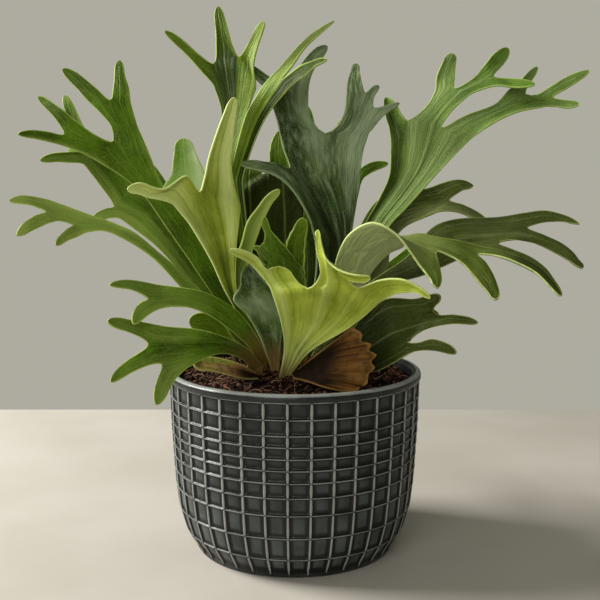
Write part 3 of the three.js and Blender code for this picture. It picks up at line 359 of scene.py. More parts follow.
def random_lean(draw, least, most):
    heading = Matrix.Rotation(draw.uniform(0, math.tau), 4, "Z")
    return heading @ Matrix.Rotation(draw.uniform(least, most), 4, "Y")


def strewn(count, draw, make_one):
    """A bmesh of many small pieces. They are made in batches, which keeps each batch quick."""
    whole = bmesh.new()
    whole.verts.layers.float.new("tint")
    for start in range(0, count, BATCH):
        batch = bmesh.new()
        tint = batch.verts.layers.float.new("tint")
        for _ in range(min(BATCH, count - start)):
            shade = draw.random()
            for vert in make_one(batch, draw):
                vert[tint] = shade
        passing = bpy.data.meshes.new("batch")
        batch.to_mesh(passing)
        batch.free()
        whole.from_mesh(passing)
        bpy.data.meshes.remove(passing)
    return whole


def make_lumpy(verts, draw, lumps):
    for vert in verts:
        vert.co *= draw.uniform(*lumps)


def settle(batch, verts, place, turn, size):
    """Gives a small piece its size in mm, turns it and lays it in its place."""
    lay = Matrix.Scale(MM, 4) @ Matrix.Translation(place) @ turn @ Matrix.Diagonal((*size, 1))
    bmesh.ops.transform(batch, matrix=lay, verts=verts)


def crumb(batch, draw):
    size = draw.choice(CRUMB_SIZES) * draw.uniform(*CRUMB_SPREAD)
    place = scattered_place(draw, inner=8, outer=SOIL_RADIUS - size)
    place.z += size * draw.uniform(*CRUMB_RISE)
    sizes = (size, size * draw.uniform(*CRUMB_WIDTHS), size * draw.uniform(*CRUMB_HEIGHTS))
    made = bmesh.ops.create_icosphere(batch, subdivisions=1, radius=1)["verts"]
    make_lumpy(made, draw, CRUMB_LUMPS)
    settle(batch, made, place, random_turn(draw), sizes)
    return made


def chip(batch, draw):
    length = draw.uniform(*CHIP_LENGTHS)
    place = scattered_place(draw, inner=14, outer=SOIL_RADIUS - length / 2 - 0.5)
    place.z += draw.uniform(*CHIP_RISE)
    lie = random_lean(draw, -CHIP_TILT, CHIP_TILT)
    sizes = (length, draw.uniform(*CHIP_WIDTHS), draw.uniform(*CHIP_THICKNESSES))
    made = bmesh.ops.create_cube(batch, size=1)["verts"]
    make_lumpy(made, draw, CHIP_LUMPS)
    settle(batch, made, place, lie, sizes)
    return made


def edges_round(ring):
    return list({edge for vert in ring for edge in vert.link_edges})


def fibre(batch, draw):
    """A three-sided thread, extruded step by step, which wanders and sinks towards its end."""
    place = (scattered_place(draw, inner=20, outer=SOIL_RADIUS - 6) + FIBRE_RISE) * MM
    heading = draw.uniform(0, math.tau)
    ring = bmesh.ops.create_circle(batch, segments=3, radius=draw.uniform(*FIBRE_WIDTHS) * MM)["verts"]
    turn = Matrix.Rotation(heading, 4, "Z") @ Matrix.Rotation(math.pi / 2, 4, "Y")
    bmesh.ops.transform(batch, matrix=Matrix.Translation(place) @ turn, verts=ring)
    made = list(ring)
    edges = edges_round(ring)
    climb = draw.uniform(*FIBRE_CLIMB)
    for _ in range(draw.randint(*FIBRE_STEPS)):
        heading += draw.uniform(-FIBRE_TURN, FIBRE_TURN)
        climb -= draw.uniform(*FIBRE_SINK)
        ends, edges = extruded(batch, edges)
        ahead = Vector((math.cos(heading), math.sin(heading), climb))
        reach = ahead * draw.uniform(*FIBRE_STEP_LENGTHS) * MM
        bmesh.ops.translate(batch, vec=reach, verts=ends)
        made += ends
    close_holes(batch)
    return made


earth = Finish("bark crumbs", 0.85, specular=0.12)
grain = earth.noise(earth.place(), 900, 4)
bark = earth.mix(earth.band(earth.attribute("tint"), 0.5, 1), "0c0603", "6a4430")
earth.colour(earth.mix(earth.band(grain, 0.55, 0.85), bark, "7a5038"))
earth.bump(grain, 0.0005)

straw = Finish("coir fibres", 0.8, specular=0.15)
straw.colour(straw.mix(straw.attribute("tint"), "4a2a1c", "b08a70"))

ground = Finish("soil", 0.95, specular=0.1)
ground.colour(ground.mix(ground.band(ground.noise(ground.place(), 500, 5), 0.4, 0.75), "0a0503", "2a180e"))
ground.bump(ground.noise(ground.place(), 700, 4), 0.001)
for node_name in ("soil", "crown"):
    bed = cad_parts[node_name]
    bed.data.materials.clear()
    bed.data.materials.append(ground.material)

draw = random.Random(3)
add_piece("soil_crumbs", strewn(CRUMB_COUNT, draw, crumb), [earth.material])
add_piece("soil_chips", strewn(CHIP_COUNT, draw, chip), [earth.material])
add_piece("soil_fibres", strewn(FIBRE_COUNT, draw, fibre), [straw.material])

# The crown's scales. They are thin, brown, papery and pointed. They grow on the crown and stand up
# thickly between the stalks.
SCALE_COUNT = 300
SCALE_LENGTHS = (3, 8)
SCALE_WIDTHS = (0.7, 1.4)
SCALE_THICKNESSES = (0.15, 0.3)
SCALE_LEANS = (0.1, 1.2)
SCALE_SPREAD = 15
SCALE_SHIFT = 6
SCALE_RISE = 0.3
SCALE_POINT = 0.15


def scale(batch, draw):
    reach = abs(draw.gauss(0, SCALE_SPREAD))
    angle = draw.uniform(0, math.tau)
    length = draw.uniform(*SCALE_LENGTHS)
    height = soil_height(reach) + length * SCALE_RISE
    place = Vector((reach * math.cos(angle) - SCALE_SHIFT, reach * math.sin(angle), height))
    lean = random_lean(draw, *SCALE_LEANS)
    sizes = (draw.uniform(*SCALE_THICKNESSES), draw.uniform(*SCALE_WIDTHS), length)
    cone = bmesh.ops.create_cone(batch, segments=6, radius1=1, radius2=SCALE_POINT, depth=1, cap_ends=True)
    settle(batch, cone["verts"], place, lean, sizes)
    return cone["verts"]


husk = Finish("papery scales", 0.8)
husk.colour(husk.mix(husk.attribute("tint"), "24150a", "8c6440"))
add_piece("crown_scales", strewn(SCALE_COUNT, draw, scale), [husk.material])

# The old stalks. They are the dry, straw-coloured stumps of shed fronds. They stand in the crown, lean
# to the left as they rise, get thinner and end torn.
OLD_STALK_RADIUS = 2.6
OLD_STALK_ROOT = 8
OLD_STALK_STEPS = 6
OLD_STALK_TAPER = 0.88
TORN_END = (-2, 3)
# Where each one stands, how tall it is and how far it leans
OLD_STALKS = [
    (-30, 8, 42, -16), (-22, 16, 50, -16), (-36, -2, 22, -8), (-14, 22, 50, -8), (-26, -10, 24, -12),
]


def old_stalk(maker, x, y, height, lean):
    """A tube that is extruded step by step, each a little narrower and leaning more than the last."""
    ring = bmesh.ops.create_circle(maker, segments=8, radius=OLD_STALK_RADIUS * MM)["verts"]
    bmesh.ops.translate(maker, vec=Vector((x, y, soil_height(0) - OLD_STALK_ROOT)) * MM, verts=ring)
    edges = edges_round(ring)
    all_steps = sum(range(1, OLD_STALK_STEPS + 1))
    for step in range(OLD_STALK_STEPS):
        ring, edges = extruded(maker, edges)
        rise = Vector((lean * (step + 1) / all_steps, 0, height / OLD_STALK_STEPS)) * MM
        bmesh.ops.translate(maker, vec=rise, verts=ring)
        middle = sum((vert.co for vert in ring), Vector()) / len(ring)
        for vert in ring:
            vert.co = middle + (vert.co - middle) * OLD_STALK_TAPER
    for vert in ring:
        vert.co.z += random.Random(vert.index + height).uniform(*TORN_END) * MM


stalk_skin = Finish("dry stalks", 0.7)
streaks = stalk_skin.noise(stalk_skin.stretched(stalk_skin.place(), (1, 1, 0.12)), 900, 3)
climb = stalk_skin.node("SeparateXYZ", Vector=stalk_skin.place()).outputs["Z"]
dry = stalk_skin.mix(stalk_skin.band(streaks, 0.35, 0.65), "7a6238", "b09c6c")
stalk_skin.colour(stalk_skin.mix(stalk_skin.band(climb, 0.118, 0.136), "2e1a0c", dry))

stalks = bmesh.new()
for measures in OLD_STALKS:
    old_stalk(stalks, *measures)
close_holes(stalks)
add_piece("old_stalks", stalks, [stalk_skin.material])

# The mature fronds. Each is a thin leathery blade on a thick stalk that stands in the crown, and it
# forks again and again into straps with rounded tips. Its upper side is a deep, vivid green with fine
# veins and pale margins, and its foot is brown.
ROOT_DEPTH = 9
STALK_LENGTH = 70
STALK_THICKNESS = 2.6
BLADE_SHARE = 0.45
MARGIN_SHARE = 0.3
ROW_STEP = 2.6
LOBE_LINES = (0, 0.07, 0.22, 0.4, 0.6, 0.78, 0.93, 1)
TIP_STEPS = (0.3, 0.55, 0.75, 0.9, 0.975)
SCALLOP_CUTS = 4
NICKS = (0, 0.2, 0.5, 1)
# The relief, in mm: the foot over which it grows, the flat margin, the length of its waves, and how fast
# the veins wander on their way
PLAIN_FOOT = 30
FLAT_MARGIN = 3
WAVE_LENGTH = 28
VEIN_RUN = 0.012
# How much lighter or darker than its finish a frond is painted, as painted sheen and painted shade, at
# stops across it and from its foot to its tips. By default its foot is darkened with painted shade.
EVEN_SHEEN = [(0, 0), (1, 0)]
PAINTED_SHADE_AT_FOOT = [(0, -0.7), (0.35, -0.15), (0.5, 0), (1, 0)]
# The skin's patterns: how fast each changes across the frond, where a lobe counts as 10, and per mm along it
LOBE_SPAN = 10
FINE_GRAIN = (0.9, 0.05, 0)
BROAD_GRAIN = (0.3, 0.07, 0)
VEIN_NET = (0.4, 0.08, 0)
MIDRIB_WANDER = (0.06, 0.03, 0)
CLOUD_SCALE = 45
SPECKLE_SCALE = 1100
MIDRIB_SHOW = 0.18
MARGIN_SHOW = 0.8
LEAF_GLOSS = "e8f0a0"


def seen_at(x, z, depth):
    """The point that is seen at x, z on the upright plane and lies a depth behind that plane."""
    reach = (EYE_DISTANCE + depth) / EYE_DISTANCE
    return Vector((x * reach, depth, EYE_HEIGHT + (z - EYE_HEIGHT) * reach)) * MM


def edges_of(row):
    left_x, left_z, right_x, right_z, left_depth, right_depth = row
    return seen_at(left_x, left_z, left_depth), seen_at(right_x, right_z, right_depth)


def leaving(a, b, c):
    """How a smooth curve through a, b and c leaves b, for the stretch from b to c."""
    before, after = math.sqrt((b - a).length), math.sqrt((c - b).length)
    if not before or not after:
        return c - b
    return (b - a) * (after / before) - (c - a) * (after / (before + after)) + (c - b)


def between(a, b, c, d, s):
    """Smooth curve from b to c, with a and d as the points before and after."""
    leave, arrive, rise = leaving(a, b, c), -leaving(d, c, b), c - b
    return b + leave * s + (3 * rise - 2 * leave - arrive) * s ** 2 + (leave + arrive - 2 * rise) * s ** 3


def grown(straps):
    """Hangs each strap on the last one that is a fork lower, and gives back the lowest one."""
    path = []
    for forks, rows, end in straps:
        strap = {"rows": rows, "ends" if isinstance(end, list) else "tip": end}
        if forks:
            path[forks - 1].setdefault("kids", []).append(strap)
        path[forks:] = [strap]
    return path[0]


def past_fork(strap):
    """The straps past a fork, each with where it starts across the fork and what share of it it takes."""
    ends = [seen_at(*point) for point in strap["ends"]]
    lengths = [(b - a).length for a, b in zip(ends, ends[1:])]
    starts = [sum(lengths[:i]) / sum(lengths) for i in range(len(lengths))]
    return zip(strap["kids"], starts, [length / sum(lengths) for length in lengths])


def lines_across(strap):
    """Where the lengthwise lines of a strap cross it, from 0 at its left edge to 1 at its right edge."""
    if "tip" in strap:
        return list(LOBE_LINES)
    if "kids" not in strap:
        count = (len(strap["ends"]) - 1) * SCALLOP_CUTS
        return [i / count for i in range(count + 1)]
    lines = [0]
    for kid, start, share in past_fork(strap):
        lines += [start + line * share for line in lines_across(kid)[1:]]
    return lines


def lobes_across(strap):
    """Where the lobes that a strap ends in begin and end across it."""
    bounds = [0]
    for kid, start, share in past_fork(strap) if "kids" in strap else [(strap, 0, 1)]:
        inner = [0, 1] if kid is strap else lobes_across(kid)
        bounds += [start + bound * share for bound in inner[1:]]
    return bounds


def fork_points(strap):
    """The points of the row where a strap forks, or of a scalloped margin."""
    ends = [seen_at(*point) for point in strap["ends"]]
    if "kids" not in strap:
        return scallops(ends)
    points = [ends[0]]
    for a, b, kid in zip(ends, ends[1:], strap["kids"]):
        points += [a.lerp(b, line) for line in lines_across(kid)[1:]]
    return points


def scallops(ends):
    """A smooth wavy line through the crests and notches of a margin."""
    points = [ends[0]]
    for i, (a, b) in enumerate(zip(ends, ends[1:])):
        before, after = ends[max(i - 1, 0)], ends[min(i + 2, len(ends) - 1)]
        points += [between(before, a, b, after, cut / SCALLOP_CUTS) for cut in range(1, SCALLOP_CUTS + 1)]
    return points


def first_edges(strap):
    """The first pair of edge points of a strap past its fork."""
    if strap["rows"]:
        return edges_of(strap["rows"][0])
    if "tip" in strap:
        return (seen_at(*strap["tip"]),) * 2
    return seen_at(*strap["ends"][0]), seen_at(*strap["ends"][-1])


def row_between(left, right, lines, bulge):
    width = (right - left).length
    return [left.lerp(right, line) + Vector((0, bulge * width * 4 * line * (1 - line), 0)) for line in lines]


class Sheet:
    """The thin sheet of one frond while it is extruded, row by row, from its root to its tips."""

    def __init__(self, outline, cup, torn):
        self.maker = bmesh.new()
        self.leaf = self.maker.verts.layers.float_vector.new("leaf")
        self.cup = cup
        self.torn = torn
        lines = lines_across(outline)
        self.draw = random.Random(len(lines))
        root = row_between(*edges_of(outline["rows"][0]), lines, cup)
        low = [self.maker.verts.new(point - Vector((0, 0, ROOT_DEPTH * MM))) for point in root]
        for pair in zip(low, low[1:]):
            self.maker.edges.new(pair)
        for vert, line in zip(low, lines):
            vert[self.leaf] = (line, -ROOT_DEPTH, 0)
        self.lay_strap(outline, self.next_row(low, root, 0), None, 0)

    def next_row(self, row, points, along):
        """Extrudes a row of the sheet and moves the new row to its points."""
        new = set(extruded(self.maker, [self.maker.edges.get(pair) for pair in zip(row, row[1:])])[0])
        raised = [next(edge.other_vert(vert) for edge in vert.link_edges if edge.other_vert(vert) in new)
                  for vert in row]
        for old, vert, point in zip(row, raised, points):
            vert.co = point
            vert[self.leaf] = (old[self.leaf].x, along / MM, 0)
        return raised

    def lay_strap(self, strap, row, before, along):
        """Lays the rows of one strap, then those of the straps that it forks into."""
        lines = lines_across(strap)
        end = None if "tip" in strap else fork_points(strap)
        keys = [(row[0].co.copy(), row[-1].co.copy())]
        keys += [edges_of(given) for given in strap["rows"][0 if before else 1:]]
        if end:
            keys.append((end[0], end[-1]))
        for k, ((left, right), (next_left, next_right)) in enumerate(zip(keys, keys[1:])):
            first, last = k == 0, k + 2 == len(keys)
            if not first:
                past_left, past_right = keys[k - 1]
            else:
                past_left, past_right = before or (2 * left - next_left, 2 * right - next_right)
            if not last:
                ahead_left, ahead_right = keys[k + 2]
            elif end:
                ahead_left, ahead_right = 2 * next_left - left, 2 * next_right - right
            else:
                half = (next_right - next_left) / 2
                ahead_left, ahead_right = seen_at(*strap["tip"]) - half, seen_at(*strap["tip"]) + half
            span = ((next_left - left).length + (next_right - right).length) / 2
            steps = max(1, round(span / (ROW_STEP * MM)))
            straight = row_between(next_left, next_right, lines, 0)
            for i in range(1, steps + 1):
                s = i / steps
                bulge = self.cup * (1 - s if last and end else 1) * (s if first and before else 1)
                edge_left = between(past_left, left, next_left, ahead_left, s)
                edge_right = between(past_right, right, next_right, ahead_right, s)
                if self.torn:
                    edge_left, edge_right = (edge_left.lerp(edge_right, self.nick()),
                                             edge_right.lerp(edge_left, self.nick()))
                points = row_between(edge_left, edge_right, lines, bulge)
                if last and end:
                    points = [p + (e - f) * s ** 2 for p, e, f in zip(points, end, straight)]
                row = self.next_row(row, points, along + span * s)
            along += span
        if "kids" in strap:
            self.lay_kids(strap["kids"], row, keys[-2], along)
        if "tip" in strap:
            past = keys[-2] if len(keys) > 1 else before
            self.lay_tip(seen_at(*strap["tip"]), row, lines, along, (past[0] + past[1]) / 2)

    def nick(self):
        """How deep the torn edge of a row is nicked."""
        return self.torn * self.draw.choice(NICKS)

    def lay_kids(self, kids, row, parent_edges, along):
        """Starts each strap past a fork on its own stretch of the row, with a round notch between."""
        start = 0
        for i, kid in enumerate(kids):
            count = len(lines_across(kid))
            left = first_edges(kids[i - 1])[1] if i > 0 else parent_edges[0]
            right = first_edges(kids[i + 1])[0] if i + 1 < len(kids) else parent_edges[1]
            self.lay_strap(kid, row[start:start + count], (left, right), along)
            start += count - 1

    def lay_tip(self, tip, row, lines, along, past):
        """Ends a strap in a round tip, which bends on the way that the strap came."""
        left, right = row[0].co.copy(), row[-1].co.copy()
        middle, half = (left + right) / 2, (right - left) / 2
        leave = leaving(past, middle, tip)
        bend = tip - middle - leave
        for s in TIP_STEPS:
            heading = (leave + 2 * bend * s).normalized()
            side = half.lerp(half - heading * half.dot(heading), s) * math.sqrt(1 - s ** 2)
            points = [middle + leave * s + bend * s ** 2 + side * (2 * line - 1) for line in lines]
            row = self.next_row(row, points, along + s * (tip - middle).length)
        row = self.next_row(row, [tip] * len(row), along + (tip - middle).length)
        bmesh.ops.pointmerge(self.maker, verts=row, merge_co=tip)

    def finish(self, relief):
        """Turns the sheet's face to the front, raises its relief and measures the way to its margin."""
        bmesh.ops.recalc_face_normals(self.maker, faces=self.maker.faces)
        self.maker.normal_update()
        if self.maker.faces[:][0].normal.y > 0:
            bmesh.ops.reverse_faces(self.maker, faces=self.maker.faces)
        margin = [vert for vert in self.maker.verts if vert.is_boundary and vert[self.leaf].y > 0]
        nearest = kdtree.KDTree(len(margin))
        for i, vert in enumerate(margin):
            nearest.insert(vert.co, i)
        nearest.balance()
        for vert in self.maker.verts:
            line, along, _ = vert[self.leaf]
            vert[self.leaf] = (line, along, nearest.find(vert.co)[2] / MM)
        self.maker.normal_update()
        shifts = [vert.normal * relief(vert) * MM for vert in self.maker.verts]
        for vert, shift in zip(self.maker.verts, shifts):
            vert.co += shift
        return set(margin)


def level_at(stops, place):
    """The value at a place between stops of (place, value)."""
    for (a, low), (b, high) in zip(stops, stops[1:]):
        if a <= place <= b:
            return low + (high - low) * (place - a) / (b - a)
    return stops[-1][1]


def add_frond(name, frond, finishes, ridge=0.15, wave=1.2, veins_per_lobe=0.9):
    """Makes one frond of its outline: a sheet with raised veins and waves, thick at the stalk."""
    outline = grown(frond["straps"])
    sheet = Sheet(outline, frond["cup"], frond.get("torn", 0))
    leaf = sheet.leaf
    ridges = frond.get("ridges", ())
    sheen = frond.get("sheen", EVEN_SHEEN)
    shade = frond.get("shade", PAINTED_SHADE_AT_FOOT)
    length = max(vert[leaf].y for vert in sheet.maker.verts)
    bounds = lobes_across(outline)

    def phase(line):
        """Counts the lobes from the left edge on. Each lobe's midrib is halfway between two counts."""
        lobe = min(bisect.bisect_right(bounds, line), len(bounds) - 1)
        return lobe - 1 + (line - bounds[lobe - 1]) / (bounds[lobe] - bounds[lobe - 1])

    def on_ridges(line, part):
        """What a part of the ridges' measures, their height or their light, comes to at a line."""
        return sum(given[part] * math.exp(-((line - given[0]) / given[1]) ** 2) for given in ridges)

    def relief(vert):
        line, along, edge = vert[leaf]
        veins = noise.noise(Vector((phase(line) * veins_per_lobe, along * VEIN_RUN, len(name))))
        waves = noise.noise(vert.co / MM / WAVE_LENGTH + Vector((0, 0, len(name))))
        raised = min(edge / FLAT_MARGIN, 1) * (ridge * veins * 2 + on_ridges(line, 2))
        return min(max(along / PLAIN_FOOT, 0), 1) * (raised + wave * waves)

    margin = sheet.finish(relief)
    shares = sheet.maker.verts.layers.deform.verify()
    light = sheet.maker.verts.layers.float.new("light")
    for vert in sheet.maker.verts:
        line, along, edge = vert[leaf]
        stalk = 1 - min(max(along, 0) / STALK_LENGTH, 1)
        share = BLADE_SHARE + (1 - BLADE_SHARE) * stalk
        vert[shares][0] = share * (MARGIN_SHARE if vert in margin else 1)
        # Painted light and shade: the ridges, the stops across and the stops from foot to tips say how much
        # paler or darker the skin is painted where light falls on it or shade lies.
        vert[light] = on_ridges(line, 3) + level_at(sheen, line) + level_at(shade, max(along, 0) / length)
        vert[leaf] = (phase(line) * LOBE_SPAN, along, edge)
    piece = add_piece(name + "_blade", sheet.maker, finishes)
    piece.vertex_groups.new(name="thickness")
    blade = piece.modifiers.new("blade", "SOLIDIFY")
    blade.thickness = STALK_THICKNESS * MM
    blade.offset = 0
    blade.vertex_group = "thickness"
    blade.material_offset = 1
    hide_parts(name)


def leaf_finish(name, deep, bright, margin, pale_and_sheen, vein=None, fuzz=0.18, streaks=0.0, net=0.08, quilt=0.3,
                dark="161f04", foot="7d6436", foot_end=26, roughness=0.5):
    """Leathery leaf skin with midribs, a net of veins, a pale margin, fine felt and a brown foot, painted
    paler as a painted sheen and darker as painted shade after its light attribute.
    """
    skin = Finish(name, roughness, specular=0.13)
    skin.shader.inputs["Specular Tint"].default_value = rgb(LEAF_GLOSS)
    place = skin.attribute("leaf", "Vector")
    parts = skin.node("SeparateXYZ", Vector=place)
    across, along, edge = (parts.outputs[axis] for axis in "XYZ")
    fine = skin.noise(skin.stretched(place, FINE_GRAIN), detail=3)
    broad = skin.noise(skin.stretched(place, BROAD_GRAIN), detail=4)
    cloud = skin.noise(skin.place(), CLOUD_SCALE, 3)
    speckle = skin.noise(skin.place(), SPECKLE_SCALE, 2)
    cells = skin.cells(skin.stretched(place, VEIN_NET))
    wobble = skin.times(skin.noise(skin.stretched(place, MIDRIB_WANDER), detail=2), 1.6)
    to_midrib = skin.math("PINGPONG", skin.math("ADD", across, wobble), LOBE_SPAN / 2)
    midribs = skin.times(skin.band(to_midrib, 4.4, 4.9), skin.band(along, 15, 60))
    tone = skin.math("ADD", skin.times(fine, 0.3), skin.times(cloud, 0.7))
    base = skin.mix(skin.band(tone, 0.36, 0.64), deep, bright)
    if streaks:
        base = skin.mix(skin.band(broad, 0.45, 0.7, 0, streaks), base, pale_and_sheen)
    # Painted light and shade: where the light attribute is above nought the skin is painted towards the pale
    # colour as a painted sheen, and below nought towards the dark colour as painted shade.
    light = skin.attribute("light")
    base = skin.mix(skin.times(light, skin.band(fine, 0.3, 0.6, 0.8, 1)), base, pale_and_sheen)
    base = skin.mix(skin.times(light, -1.0), base, dark)
    # Hairs and veins show less where shade is painted.
    hairs = skin.times(skin.band(speckle, 0.35, 0.65), skin.band(broad, 0.35, 0.65, 0.4, 1))
    base = skin.mix(skin.times(hairs, skin.band(light, -1, 0, 0.3 * fuzz, fuzz)), base, pale_and_sheen)
    veins = skin.times(skin.band(cells, 0.0, 0.12, 1, 0), skin.band(light, -1, 0, 0.2 * net, net))
    base = skin.mix(veins, base, pale_and_sheen)
    base = skin.mix(skin.times(midribs, MIDRIB_SHOW), base, vein or pale_and_sheen)
    base = skin.mix(skin.band(edge, 0.1, 0.75, MARGIN_SHOW, 0), base, margin)
    skin.colour(skin.mix(skin.band(along, -2, foot_end, 0.9, 0), base, foot))
    skin.roughness(skin.band(fine, 0.3, 0.7, roughness - 0.08, roughness + 0.1))
    quilted = skin.times(skin.band(cells, 0.0, 0.3), quilt)
    raised = skin.math("ADD", quilted, skin.times(speckle, 0.2))
    skin.bump(skin.math("SUBTRACT", raised, skin.times(midribs, 0.5)), 0.0005, 0.8)
    return skin.material


green_top = leaf_finish("mature frond, upper side", "2c4600", "4c7006", "acc060", "98ae54", foot_end=40)
green_under = leaf_finish("mature frond, underside", "5c7420", "7f9440", "b5c687", "93a55c", fuzz=0.3)
